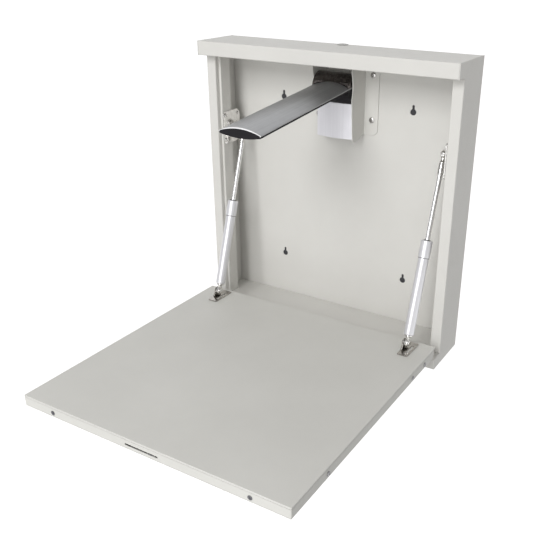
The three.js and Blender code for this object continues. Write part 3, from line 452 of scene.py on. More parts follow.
def make_handling_group():
    """Faint dust and rubbed patches: slow noise at two sizes, both as masks."""
    group, given, out = new_group(
        "handling_marks",
        [("Patch Size", 14.0), ("Smear Size", 60.0)],
        [("NodeSocketFloat", "Patch"), ("NodeSocketFloat", "Smear")],
    )
    where = object_coordinates(group)
    patch = ramp(group, noise(group, where, given.outputs["Patch Size"], 5.0, 0.62), 0.40, 0.66)
    smear = ramp(group, noise(group, where, given.outputs["Smear Size"], 4.0, 0.6), 0.45, 0.72)
    group.links.new(patch, out.inputs["Patch"])
    group.links.new(smear, out.inputs["Smear"])
    return group


COAT_SKIN = make_coat_group()
DRAWN_GRAIN = make_grain_group()
HANDLING = make_handling_group()


def start_material(name):
    """A material with its Principled shader and its node tree."""
    material = bpy.data.materials.new(name)
    material.use_nodes = True
    tree = material.node_tree
    return material, tree, tree.nodes["Principled BSDF"]


def use_group(tree, group, **values):
    """Places a group in a material with its own values."""
    node = tree.nodes.new("ShaderNodeGroup")
    node.node_tree = group
    for label, value in values.items():
        node.inputs[label.replace("_", " ")].default_value = value
    return node


def tint(tree, mask, low, high):
    """Mixes two colours by a mask."""
    node = tree.nodes.new("ShaderNodeMix")
    node.data_type = "RGBA"
    tree.links.new(mask, node.inputs["Factor"])
    node.inputs["A"].default_value = (*low, 1)
    node.inputs["B"].default_value = (*high, 1)
    return node.outputs["Result"]


def bump(tree, shader, height, distance, strength=1.0):
    """Feeds a height to the shader's normal."""
    node = tree.nodes.new("ShaderNodeBump")
    node.inputs["Distance"].default_value = distance
    node.inputs["Strength"].default_value = strength
    tree.links.new(height, node.inputs["Height"])
    tree.links.new(node.outputs["Normal"], shader.inputs["Normal"])


def wear(tree, shader, marks, colour, low, high):
    """Feeds a colour to the shader, and a roughness that handling moves from low to high."""
    tree.links.new(colour, shader.inputs["Base Color"])
    tree.links.new(ramp(tree, marks.outputs["Smear"], 0, 1, low, high), shader.inputs["Roughness"])


def powder_coat(name, low, high, roughness):
    """Fine-textured powder coat over steel: colour drifts a little, gloss varies with handling."""
    material, tree, shader = start_material(name)
    skin = use_group(tree, COAT_SKIN)
    marks = use_group(tree, HANDLING)
    colour = tint(tree, ramp(tree, skin.outputs["Mottle"], 0.3, 0.7), low, high)
    speck = tree.nodes.new("ShaderNodeMix")
    speck.data_type = "RGBA"
    tree.links.new(math_node(tree, "MULTIPLY", skin.outputs["Speck"], 0.10), speck.inputs["Factor"])
    tree.links.new(colour, speck.inputs["A"])
    speck.inputs["B"].default_value = (low[0] * 0.72, low[1] * 0.72, low[2] * 0.70, 1)
    wear(tree, shader, marks, speck.outputs["Result"], roughness - 0.03, roughness + 0.05)
    shader.inputs["Specular IOR Level"].default_value = 0.42
    bump(tree, shader, skin.outputs["Height"], 0.00005, 0.55)
    return material


def drawn_metal(name, low, high, roughness, direction, metallic=1.0, depth=0.00002, spread=0.06,
                relief=0.5):
    """Metal with a grain along a direction, its streaks showing in colour and gloss."""
    material, tree, shader = start_material(name)
    mapping = tree.nodes.new("ShaderNodeMapping")
    turn = Vector(direction).to_track_quat("Z", "Y").inverted().to_euler()
    mapping.inputs["Rotation"].default_value = turn
    tree.links.new(object_coordinates(tree), mapping.inputs["Vector"])
    grain = use_group(tree, DRAWN_GRAIN)
    tree.links.new(mapping.outputs[0], grain.inputs["Vector"])
    marks = use_group(tree, HANDLING)
    colour = tint(tree, ramp(tree, grain.outputs["Streak"], 0.3, 0.7), low, high)
    wear(tree, shader, marks, colour, roughness, roughness + spread)
    shader.inputs["Metallic"].default_value = metallic
    bump(tree, shader, grain.outputs["Height"], depth, relief)
    return material


def bright_plate(name, low, high, roughness):
    """Plated steel: smooth and bright, clouded a little by handling and by its plating."""
    material, tree, shader = start_material(name)
    marks = use_group(tree, HANDLING, Patch_Size=120.0, Smear_Size=300.0)
    colour = tint(tree, marks.outputs["Patch"], low, high)
    wear(tree, shader, marks, colour, roughness, roughness + 0.10)
    shader.inputs["Metallic"].default_value = 1.0
    bump(tree, shader, noise(tree, object_coordinates(tree), 700.0, 2.0), 0.00002, 0.35)
    return material


def moulded_plastic(name, low, high, roughness, shine=0.4):
    """Moulded plastic with a fine spark-eroded texture."""
    material, tree, shader = start_material(name)
    shader.inputs["Specular IOR Level"].default_value = shine
    marks = use_group(tree, HANDLING, Patch_Size=30.0)
    colour = tint(tree, marks.outputs["Patch"], low, high)
    wear(tree, shader, marks, colour, roughness - 0.05, roughness + 0.05)
    bump(tree, shader, noise(tree, object_coordinates(tree), 1600.0, 2.0), 0.00004, 0.5)
    return material


ARM_JOINT = joint("arm_fold")
STRUT_STROKE = joint("right_strut_stroke")
ARM_DROOP = math.radians(5.7)
ARM_BACK = np.array([0, math.cos(ARM_DROOP), math.sin(ARM_DROOP)])

CABINET_PAINT = powder_coat("cabinet_powder_coat", (0.690, 0.680, 0.650), (0.730, 0.722, 0.692), 0.46)
TABLE_PAINT = powder_coat("table_powder_coat", (0.660, 0.654, 0.622), (0.700, 0.694, 0.662), 0.50)
FOOT_STEEL = bright_plate("mirror_foot_plate", (0.36, 0.345, 0.32), (0.50, 0.48, 0.455), 0.12)
ZINC_SCREW = bright_plate("dull_zinc_screw", (0.26, 0.26, 0.27), (0.40, 0.40, 0.41), 0.34)
NICKEL_SCREW = bright_plate("nickel_screw", (0.42, 0.41, 0.40), (0.62, 0.61, 0.60), 0.20)
BRIGHT_STEEL = bright_plate("bright_plated_steel", (0.70, 0.69, 0.67), (0.84, 0.83, 0.82), 0.16)
DARK_STEEL = bright_plate("dark_screw_steel", (0.10, 0.10, 0.11), (0.19, 0.19, 0.20), 0.30)
ROD_CHROME = drawn_metal("hard_chromed_rod", (0.88, 0.88, 0.89), (0.95, 0.95, 0.96), 0.24,
                         STRUT_STROKE["axis"], depth=0.000001, relief=0.02)
TUBE_SILVER = drawn_metal("silver_lacquered_tube", (0.76, 0.76, 0.79), (0.81, 0.81, 0.84), 0.40,
                          STRUT_STROKE["axis"], metallic=0.7, depth=0.000001, relief=0.03)
SATIN_ALUMINIUM = drawn_metal("satin_brushed_aluminium", (0.32, 0.325, 0.335), (0.385, 0.39, 0.40), 0.36,
                              ARM_BACK, metallic=0.82, depth=0.00003, spread=0.08)
CUT_ALUMINIUM = drawn_metal("bright_cut_aluminium", (0.90, 0.90, 0.92), (0.96, 0.96, 0.97), 0.35,
                            (1, 0, 0), metallic=0.5, depth=0.00001)
PALE_ALUMINIUM = drawn_metal("matt_silver_sheet", (0.74, 0.735, 0.775), (0.78, 0.775, 0.815), 0.42,
                             (0, 0, 1), metallic=0.4, depth=0.000002, relief=0.1)
BLACK_PLASTIC = moulded_plastic("black_moulding", (0.0085, 0.008, 0.010), (0.014, 0.0125, 0.0155), 0.6,
                                shine=0.18)
# The hood's dark steel is painted shade: its dark colour stands for the cap's shadow above the arm root.
HOOD_STEEL_PAINTED_SHADE = bright_plate("dark_hood_steel", (0.10, 0.088, 0.084), (0.17, 0.155, 0.15), 0.22)
GREY_PLASTIC = moulded_plastic("grey_plug", (0.42, 0.42, 0.40), (0.50, 0.50, 0.48), 0.45)


# ------------------------------------------------------------------- cabinet

BODY_LOW, BODY_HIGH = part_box("right_side_wall")
CAP_LOW, CAP_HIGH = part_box("top_cap")
APRON_LOW, APRON_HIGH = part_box("bottom_apron")
HALF = BODY_HIGH.x
FRONT = BODY_LOW.y
FLOOR, ROOF = BODY_LOW.z, BODY_HIGH.z
SHEET = 1.5 * MM
BEND = 1.6 * MM
INNER_WALL_X = BODY_LOW.x
SETBACK_FACE = FRONT + 29.5 * MM
FLANGE, RETURN, STEP = 22 * MM, 12.5 * MM, 32 * MM
REAR_FOLD, FRONT_FOLD = 14 * MM, 22 * MM
KEYHOLES = [(x, FLOOR + z) for x in (-160 * MM, 160 * MM) for z in (130 * MM, 515 * MM)]


def keyhole_outline(x, z):
    """Outline of a keyhole: most of a circle, with a round-ended slot rising from it."""
    radius, half_slot, rise = 6.75 * MM, 2.7 * MM, 15 * MM
    spread = math.degrees(math.asin(half_slot / radius))
    round_part = arc((x, z), radius, 90 + spread, 450 - spread, 28)
    slot_end = arc((x, z + rise - half_slot), half_slot, 0, 180, 10)
    return np.vstack([round_part, slot_end])


def make_back_panel():
    """The wall panel with its four keyholes."""
    low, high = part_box("back_panel")
    rings = [rectangle(low.x, high.x, low.z, high.z)]
    rings += [keyhole_outline(x, z) for x, z in KEYHOLES]
    Surface().slab(rings, XZ, low.y, high.y, 0.3 * MM).piece(
        "back_panel_sheet", CABINET_PAINT, CABINET, "cabinet_paint", ["back_panel"])


def make_side_wall(name):
    """The outer skin, notched for cap and floor, and the folded front edge behind the table:
    flange, return, step and inner wall as one bent outline carried up the side."""
    side = SIDES[name]
    skin = Surface()
    cap, apron = CAP_LOW.z, APRON_HIGH.z
    seam = SETBACK_FACE + 2.6 * MM
    outline = [(0, FLOOR), (0, ROOF), (FRONT, ROOF), (FRONT, cap), (seam, cap),
               (seam, apron), (FRONT, apron), (FRONT, FLOOR)]
    radii = np.array([0.8, 0.8, 2.0, 0.8, 0, 0, 0.8, 2.0]) * MM
    outer, inner = side * HALF, side * (HALF - SHEET)
    skin.slab([fillet(outline, radii)], YZ, *sorted((outer, inner)), 0.08 * MM)
    mid = SHEET / 2 + 0.02 * MM
    front_line = SETBACK_FACE + mid
    back_of_return = front_line + RETURN
    line = [
        (HALF - mid, front_line + 8 * MM), (HALF - mid, front_line),
        (HALF - FLANGE - mid, front_line), (HALF - FLANGE - mid, back_of_return),
        (INNER_WALL_X + mid, back_of_return), (INNER_WALL_X + mid, back_of_return + STEP),
    ]
    section = bent_sheet([(side * x, y) for x, y in line], SHEET, BEND)
    skin.slab([section], XY, apron + PLAY, ROOF - SHEET - PLAY, 0.2 * MM)
    skin.piece(f"{name}_side_sheet", CABINET_PAINT, CABINET, "cabinet_paint", [f"{name}_side_wall"])


def fold_across(top, bottom, low, high):
    """A sheet carried across the cabinet: rear fold, level top, front face and a fold under it,
    bent as one outline in the (y, z) plane."""
    mid = SHEET / 2
    rear, front = -SHEET - PLAY - mid, FRONT + mid
    line = [(rear, top - REAR_FOLD), (rear, top - mid), (front, top - mid),
            (front, bottom + mid), (front + FRONT_FOLD, bottom + mid)]
    return Surface().slab([bent_sheet(line, SHEET, BEND)], YZ, low, high, 0.25 * MM)


def make_cap_and_apron():
    """The cap, with the opening that takes the latch bolt, and the floor with its apron."""
    cap = fold_across(ROOF, CAP_LOW.z, CAP_LOW.x, CAP_HIGH.x)
    piece = cap.piece("cap_sheet", CABINET_PAINT, CABINET, "cabinet_paint", ["top_cap"])
    bolt_low, bolt_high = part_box("latch_bolt")
    hinge = joint("table_fold")["pos_m"]
    closed_y = hinge[1] + (bolt_low.z + bolt_high.z) / 2 - hinge[2]
    margin, half = 1.5 * MM, 3.3 * MM
    opening = rectangle(bolt_low.x - margin, bolt_high.x + margin, closed_y - half, closed_y + half)
    carve(piece, Surface().slab([opening], XY, CAP_LOW.z - 2 * MM, CAP_LOW.z + 4 * MM))
    apron = fold_across(APRON_HIGH.z, FLOOR, APRON_LOW.x, APRON_HIGH.x)
    apron.piece("floor_sheet", CABINET_PAINT, CABINET, "cabinet_paint", ["bottom_apron"])


def make_plug():
    """The plug in the cap: a low dome with a thin rim, turned about +Z."""
    low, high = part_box("cap_plug")
    centre = np.array([(low.x + high.x) / 2, (low.y + high.y) / 2, 0])
    radius = (high.x - low.x) / 2
    seat = high.z - 2 * MM
    neck = radius - 2.5 * MM
    profile = [(0, low.z), (neck, low.z), (neck, seat), (radius, seat),
               (radius - 0.3 * MM, seat + 0.8 * MM), (radius - 2.6 * MM, seat + 1.5 * MM),
               (radius - 3.4 * MM, seat + 1.3 * MM), (0, high.z)]
    radii = np.array([0, 0.5, 0, 0.2, 0.3, 0.4, 0.4, 0]) * MM
    Surface().lathed(profile, radii, centre, Z).piece(
        "cap_plug_disc", GREY_PLASTIC, CABINET, "grey_plastic", ["cap_plug"])


# --------------------------------------------------------------------- table

COVER_LOW, COVER_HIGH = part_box("table_cover")
PAN_LOW, PAN_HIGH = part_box("table_pan")
TOP_SHEET = 1.2 * MM
EDGE_LINE = COVER_HIGH.z - 13.5 * MM
SLOT_ENDS, SLOT_HALF = (-44 * MM, 31 * MM), 2 * MM


def quarter_round(radius, count):
    """Points of a quarter circle as (inset, drop) = radius (1 - cos a, 1 - sin a)."""
    a = np.radians(np.linspace(0, 90, count))
    return radius * np.stack([1 - np.cos(a), 1 - np.sin(a)], 1)


def make_cover():
    """The shallow lid that is the changing surface: its rim turns down with a small radius."""
    low, top = COVER_LOW.z, COVER_HIGH.z
    bend = [(inset, top - drop) for inset, drop in quarter_round(1.3 * MM, 6)]
    profile = [(TOP_SHEET, top - SHEET), (TOP_SHEET, low + 0.1 * MM), (TOP_SHEET - 0.1 * MM, low),
               (0.15 * MM, low), (0, low + 0.15 * MM), *bend]
    Surface().tray(COVER_LOW.x, COVER_HIGH.x, COVER_LOW.y, COVER_HIGH.y, profile, 2.5 * MM).piece(
        "table_top_lid", TABLE_PAINT, TABLE, "table_paint", ["table_cover"])


def make_pan():
    """The tray under the lid: a quarter round of 6 mm joins its sides to its floor."""
    low, top = PAN_LOW.z, PAN_HIGH.z
    radius = 6 * MM
    outer = [(inset, low + drop) for inset, drop in quarter_round(radius, 10)]
    inner = [(TOP_SHEET + inset, low + TOP_SHEET + drop)
             for inset, drop in quarter_round(radius - TOP_SHEET, 10)[::-1]]
    profile = [*inner, (TOP_SHEET, top - 0.1 * MM), (TOP_SHEET - 0.1 * MM, top),
               (0.15 * MM, top), (0, top - 0.15 * MM), *outer]
    pan = Surface().tray(PAN_LOW.x, PAN_HIGH.x, PAN_LOW.y, PAN_HIGH.y, profile, 2.5 * MM)
    piece = pan.piece("table_tray", TABLE_PAINT, TABLE, "table_paint", ["table_pan"])
    slot = rectangle(*SLOT_ENDS, EDGE_LINE - SLOT_HALF, EDGE_LINE + SLOT_HALF, 1.9 * MM)
    cutter = Surface().slab([slot], XZ, PAN_LOW.y - 3 * MM, PAN_LOW.y + 4 * MM)
    carve(piece, cutter)


def make_latch():
    """The bolt: a flat bar whose nose is chamfered above."""
    low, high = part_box("latch_bolt")
    nose = [(low.y, low.z), (high.y, low.z), (high.y, high.z),
            (low.y + 3 * MM, high.z), (low.y, high.z - 1.2 * MM)]
    Surface().slab([fillet(nose, 0.3 * MM)], YZ, low.x, high.x, 0.3 * MM).piece(
        "latch_bolt_bar", DARK_STEEL, "latch", "bright_steel", ["latch_bolt"])


# -------------------------------------------------------------------- screws

def screw_head(surface, centre, axis, radius, height, rings=14, spokes=64):
    """A pan head with a cross recess. Its height over the seat is height sqrt(1 - 0.75 (r / R)^2),
    and inside the cross, two bars of half width 0.14 R and half length 0.55 R, it is sunk."""
    axis = np.asarray(axis, float)
    side = np.cross(axis, Z if abs(axis[2]) < 0.7 else X)
    side /= np.linalg.norm(side)
    other = np.cross(axis, side)
    share = np.linspace(0, 1, rings)[:, None]
    angle = np.linspace(0, 2 * math.pi, spokes, endpoint=False)[None, :]
    u, v = share * np.cos(angle), share * np.sin(angle)
    rise = height * np.sqrt(1 - 0.75 * share ** 2) * np.ones_like(angle)
    bars = np.minimum(
        np.maximum(np.abs(u) / 0.55, np.abs(v) / 0.14),
        np.maximum(np.abs(v) / 0.55, np.abs(u) / 0.14),
    )
    sunk = np.clip((1.15 - bars) / 0.3, 0, 1)
    rise = rise - 0.6 * height * sunk
    across = (radius * u)[..., None] * side + (radius * v)[..., None] * other
    top = centre + across + rise[..., None] * axis
    rim = (radius * np.cos(angle)).T * side + (radius * np.sin(angle)).T * other
    seat = centre + rim
    points = np.vstack([top.reshape(-1, 3), seat, centre[None]])
    faces = grid_faces(rings + 1, spokes, True)
    ring = rings * spokes + np.arange(spokes)
    base = np.stack([ring, np.roll(ring, -1), np.full(spokes, (rings + 1) * spokes)], 1)
    surface.add(points, faces, base)


def make_screw(node, material, body, axis, height=2.4 * MM):
    """Replaces a screw node: the head stands on the seat and a plain shank goes in."""
    low, high = (np.array(c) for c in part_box(node))
    axis = np.asarray(axis, float)
    centre = (low + high) / 2
    along = np.abs(axis).astype(bool)
    outer = np.where(axis > 0, high, low)
    radius = np.max((high - low)[~along]) / 2
    shank = 2 * MM
    seat = centre.copy()
    seat[along] = outer[along] - axis[along] * height
    length = float((high - low)[along][0]) - height
    surface = Surface()
    screw_head(surface, seat, axis, radius, height)
    point = [(0, -length), (shank - 0.4 * MM, -length), (shank, 0.8 * MM - length), (shank, 0), (0, 0)]
    surface.turned(point, seat, axis, 24)
    surface.piece(f"{node}_head", material, body, "bright_steel", [node])


def make_screws():
    """Every screw of the object, by the direction that its head faces."""
    for name, side in SIDES.items():
        make_screw(f"table_front_screw_{name}", DARK_STEEL, TABLE, -Y, 1.1 * MM)
        for i in (1, 2, 3):
            make_screw(f"table_side_screw_{name}_{i}", ZINC_SCREW, TABLE, side * X)
        for i in (1, 2):
            make_screw(f"{name}_upper_bracket_screw_{i}", BRIGHT_STEEL, CABINET, -side * X, 3.2 * MM)
    for i in (1, 2, 3, 4):
        make_screw(f"arm_bracket_screw_{i}", NICKEL_SCREW, CABINET, -Y, 3 * MM)


# ------------------------------------------------------------------- struts

STRUT_UP = -np.array(STRUT_STROKE["axis"])
EYE_RADIUS, EYE_HALF = 9 * MM, 4 * MM
EYE_ROOT = EYE_RADIUS * 0.62
PIN_RADIUS = 3.8 * MM
TUBE_START, TUBE_END, TUBE_RADIUS = 18 * MM, 217 * MM, 11 * MM
ROD_RADIUS, ROD_INSIDE = 5 * MM, 155 * MM
FITTING_RADIUS, FITTING_LENGTH = 6.6 * MM, 42 * MM
UPPER_PIVOT = (-36 * MM, FLOOR + 446 * MM)
EAR, EAR_GAP = 3 * MM, 0.6 * MM


def make_eye(surface, centre, bore):
    """A flat ring about +X with rounded rims; its section is carried round the bore."""
    profile = [(bore, -EYE_HALF), (EYE_RADIUS, -EYE_HALF), (EYE_RADIUS, EYE_HALF), (bore, EYE_HALF)]
    surface.hoop(profile, np.array([0.6, 1.6, 1.6, 0.6]) * MM, centre, X, 56, 5)


def make_strut(name):
    """A gas strut: eye and neck, tube, sleeve, rod and end fitting, each turned about its axis."""
    barrel, rod = f"{name}_strut_barrel", f"{name}_strut_rod"
    foot = np.array(joint(f"{name}_strut_swing")["pos_m"])
    low, high = (np.array(c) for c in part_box(f"{name}_strut_rod_eye"))
    rise = (high[2] - EYE_RADIUS - foot[2]) / STRUT_UP[2]
    head = foot + STRUT_UP * rise
    side = SIDES[name]
    start, end = TUBE_START, TUBE_END

    eye = Surface()
    make_eye(eye, foot, PIN_RADIUS + PLAY)
    eye.lathed(
        [(0, EYE_ROOT), (4 * MM, EYE_ROOT), (5.2 * MM, start - 5 * MM),
         (8.6 * MM, start - 3.2 * MM), (8.6 * MM, start - PLAY), (0, start - PLAY)],
        np.array([0, 0.5, 2, 0.8, 0.4, 0]) * MM, foot, STRUT_UP)
    eye.piece(f"{name}_lower_eye_end", BRIGHT_STEEL, barrel, "bright_steel", [f"{name}_strut_lower_eye"])

    mouth = TUBE_RADIUS - 1.6 * MM
    Surface().lathed(
        [(0, start), (TUBE_RADIUS, start), (TUBE_RADIUS, end), (mouth, end),
         (mouth, start + 3 * MM), (0, start + 3 * MM)],
        np.array([0, 1.8, 0.3, 0.3, 0.3, 0]) * MM, foot, STRUT_UP, 72, 6).piece(
            f"{name}_gas_tube", TUBE_SILVER, barrel, "tube_silver", [f"{name}_strut_tube"])

    inside, outside = TUBE_RADIUS + PLAY, TUBE_RADIUS + 1.3 * MM
    below, lip, floor = end - 33 * MM, end + 3.4 * MM, end + 2.4 * MM
    Surface().hoop(
        [(inside, below), (outside, below), (outside, lip), (6.6 * MM, lip), (6.2 * MM, floor),
         (5.4 * MM, floor), (5.4 * MM, end + PLAY), (inside, end + PLAY)],
        np.array([0.2, 0.6, 1.5, 0.2, 0.2, 0.2, 0.2, 0.2]) * MM, foot, STRUT_UP, 72, 4).piece(
            f"{name}_tube_sleeve", TUBE_SILVER, barrel, "tube_silver", [f"{name}_strut_sleeve"])
    seal_and_shade_rings = Surface()
    # The first ring is painted shade: a black band under the sleeve's lower edge stands for the shadow in
    # the gap there. The second is the rod seal at the sleeve's mouth.
    for inner, outer, bottom, top in (
            (TUBE_RADIUS + 0.1 * MM, outside - 0.2 * MM, below - 0.9 * MM, below - 0.1 * MM),
            (5.15 * MM, 7.4 * MM, end + 2.6 * MM, end + 4.4 * MM)):
        ring = [(inner, bottom), (outer, bottom), (outer, top), (inner, top)]
        seal_and_shade_rings.hoop(ring, 0.2 * MM, foot, STRUT_UP, 56, 3)
    seal_and_shade_rings.piece(f"{name}_strut_seals", BLACK_PLASTIC, barrel, "black_plastic")

    rod_low, rod_high = end - ROD_INSIDE, rise - 34 * MM
    Surface().lathed(
        [(0, rod_low), (ROD_RADIUS, rod_low), (ROD_RADIUS, rod_high), (0, rod_high)],
        np.array([0, 0.5, 0.3, 0]) * MM, foot, STRUT_UP, 48).piece(
            f"{name}_piston_rod", ROD_CHROME, rod, "bright_steel", [f"{name}_strut_rod"])

    socket, low_end, root = ROD_RADIUS + 0.2 * MM, rise - FITTING_LENGTH, rise - EYE_ROOT
    fitting = Surface()
    fitting.lathed(
        [(socket, low_end), (FITTING_RADIUS, low_end), (FITTING_RADIUS, rise - 17 * MM),
         (4.6 * MM, rise - 12.5 * MM), (4.2 * MM, root), (0, root)],
        np.array([0, 0.8, 1.6, 1.5, 0.2, 0]) * MM, foot, STRUT_UP)
    make_eye(fitting, head, PIN_RADIUS - 0.2 * MM)
    tip = abs(float(high[0] if side > 0 else low[0]) - head[0])
    rivet, seat = -6.2 * MM, -3.6 * MM
    fitting.lathed(
        [(0, rivet), (5.8 * MM, rivet), (5.8 * MM, seat), (PIN_RADIUS, seat), (PIN_RADIUS, tip), (0, tip)],
        np.array([0, 1.2, 0.3, 0, 0.5, 0]) * MM, head, side * X, 40)
    fitting.piece(f"{name}_rod_end_eye", BRIGHT_STEEL, rod, "bright_steel", [f"{name}_strut_rod_eye"])


def make_wall_plate(name):
    """The plate that holds a strut's top end: an outline with its holes, and a boss at the pivot."""
    side = SIDES[name]
    low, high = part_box(f"{name}_upper_strut_bracket")
    outer = high.x if side > 0 else low.x
    inner = outer - side * 2.5 * MM
    outline = rectangle(low.y, high.y, low.z, high.z, np.array([5, 20, 14, 5]) * MM, 8)
    holes = [circle((high.y - 9 * MM, high.z - 9 * MM), 3 * MM)]
    for z in (low.z + 9 * MM, high.z - 9 * MM):
        holes.append(circle((low.y + 6.5 * MM, z), 2.35 * MM, 20))
    plate = Surface().slab([outline, *holes], YZ, *sorted((outer, inner)), 0.5 * MM)
    boss = np.array([(0, -0.5), (8.5, -0.5), (8.5, 2), (0, 2)]) * MM
    plate.lathed(boss, np.array([0, 0, 0.9, 0]) * MM, np.array([inner, *UPPER_PIVOT]), -side * X)
    plate.piece(f"{name}_wall_plate", BRIGHT_STEEL, CABINET, "bright_steel", [f"{name}_upper_strut_bracket"])


def make_foot(name):
    """The foot of a strut: a base with a slot, a folded ear with the pivot hole, and the pin."""
    low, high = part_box(f"{name}_lower_strut_bracket")
    pivot = np.array(joint(f"{name}_strut_swing")["pos_m"])
    base_top = low.z + 2.2 * MM
    slot_x = high.x - 7 * MM
    base = rectangle(low.x, high.x, low.y, high.y, 3 * MM, 6)
    slot = rectangle(slot_x - 2.6 * MM, slot_x + 2.6 * MM, low.y + 12 * MM, high.y - 14 * MM, 2.5 * MM, 6)
    foot = Surface().slab([base, slot], XY, low.z, base_top, 0.5 * MM)
    ear_in = pivot[0] - EYE_HALF - EAR_GAP
    y, z = pivot[1], pivot[2]
    ear = np.vstack([
        [(y - 17 * MM, low.z + PLAY), (y + 15 * MM, low.z + PLAY)],
        arc((y, z), EYE_RADIUS, 0, 180, 20),
    ])
    hole = circle((y, z), PIN_RADIUS + PLAY)
    foot.slab([ear, hole], YZ, ear_in - EAR, ear_in, 0.5 * MM)
    foot.piece(f"{name}_foot_bracket", FOOT_STEEL, TABLE, "bright_steel", [f"{name}_lower_strut_bracket"])
    head, end = -(EYE_HALF + EAR_GAP + EAR + PLAY), EYE_HALF + PLAY
    rivet, collar = head - 2.4 * MM, end + 2 * MM
    Surface().lathed(
        [(0, rivet), (6.4 * MM, rivet), (6.4 * MM, head), (PIN_RADIUS, head),
         (PIN_RADIUS, end), (6 * MM, end), (6 * MM, collar), (0, collar)],
        np.array([0, 1.6, 0.2, 0, 0, 0.2, 1.3, 0]) * MM, pivot, X, 40).piece(
            f"{name}_foot_pin", BRIGHT_STEEL, TABLE, "bright_steel", [f"{name}_lower_strut_pin"])


# ----------------------------------------------------------------------- arm

ARM_PIVOT = np.array(ARM_JOINT["pos_m"])
ARM_UP = np.cross(X, ARM_BACK)
ARM_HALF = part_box("arm_shell")[1].x
ARM_RISE, ARM_SHELL = 10 * MM, 2.4 * MM
ARM_WALL, ARM_LIP = 1.6 * MM, 1.7 * MM
CORE_BAND = 3 * MM
KEEL = -(ARM_WALL + PLAY + CORE_BAND)
ARM_LIFT, ARM_REACH, ARM_TAIL = 22 * MM, 352 * MM, 8 * MM
ARM_PLACE = (ARM_PIVOT + ARM_LIFT * ARM_UP, X, ARM_UP, ARM_BACK)
BRACKET_LOW, BRACKET_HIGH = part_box("arm_bracket")
CHEEK_IN = 46 * MM
BRACKET_PLATE = 2 * MM
HUB_RADIUS, BLOCK_FRONT = 16.5 * MM, -14 * MM
HOOD_SHIFT, HOOD_BASE, HOOD_REACH, HOOD_HEIGHT = 4 * MM, 6 * MM, 34 * MM, 40 * MM
HOOD_PARTING = 21 * MM


def crown(half, rise, steps=48):
    """A circle arc over the chord -half..half that rises by rise in the middle:
    y = sqrt(R^2 - x^2) - (R - rise), R = (half^2 + rise^2) / (2 rise)."""
    radius = (half ** 2 + rise ** 2) / (2 * abs(rise))
    angle = np.linspace(-1, 1, steps + 1) * math.asin(half / radius)
    height = radius * np.cos(angle) - (radius - abs(rise))
    return np.stack([radius * np.sin(angle), math.copysign(1, rise) * height], 1)


def make_arm():
    """The bright shell, the black core under it and the black end, all carried along the arm."""
    inner = ARM_HALF - 1.8 * MM
    shell = np.vstack([
        [(-inner, -ARM_WALL), (-ARM_HALF, -ARM_WALL)], crown(ARM_HALF, ARM_RISE),
        [(ARM_HALF, -ARM_WALL), (inner, -ARM_WALL)], crown(inner, ARM_RISE - ARM_SHELL)[::-1],
    ])
    lip_back = ARM_LIP - ARM_REACH
    Surface().slab([shell], ARM_PLACE, lip_back, ARM_TAIL, 0.1 * MM).piece(
        "arm_bright_shell", SATIN_ALUMINIUM, ARM, "satin_aluminium", ["arm_shell"], sharp=50)
    Surface().slab([shell], ARM_PLACE, -ARM_REACH, lip_back + 0.05 * MM, 0.4 * MM).piece(
        "arm_bright_lip", CUT_ALUMINIUM, ARM, "satin_aluminium", sharp=50)
    half, within = ARM_HALF - 0.2 * MM, inner - PLAY
    low = KEEL + CORE_BAND
    core = np.vstack([
        crown(within, ARM_RISE - ARM_SHELL - PLAY), [(within, low), (half, low), (half, KEEL)],
        (crown(half, -(ARM_RISE + KEEL)) + (0, KEEL))[::-1][1:-1],
        [(-half, KEEL), (-half, low), (-within, low)],
    ])
    cap_back = -ARM_REACH + 6 * MM
    Surface().slab([core], ARM_PLACE, cap_back + PLAY, ARM_TAIL, 0.3 * MM).piece(
        "arm_black_core", BLACK_PLASTIC, ARM, "black_plastic", ["arm_core"], sharp=50)
    Surface().slab([core], ARM_PLACE, -ARM_REACH + 0.4 * MM, cap_back, 0.5 * MM).piece(
        "arm_black_end", BLACK_PLASTIC, ARM, "black_plastic", ["arm_end_cap"], sharp=50)


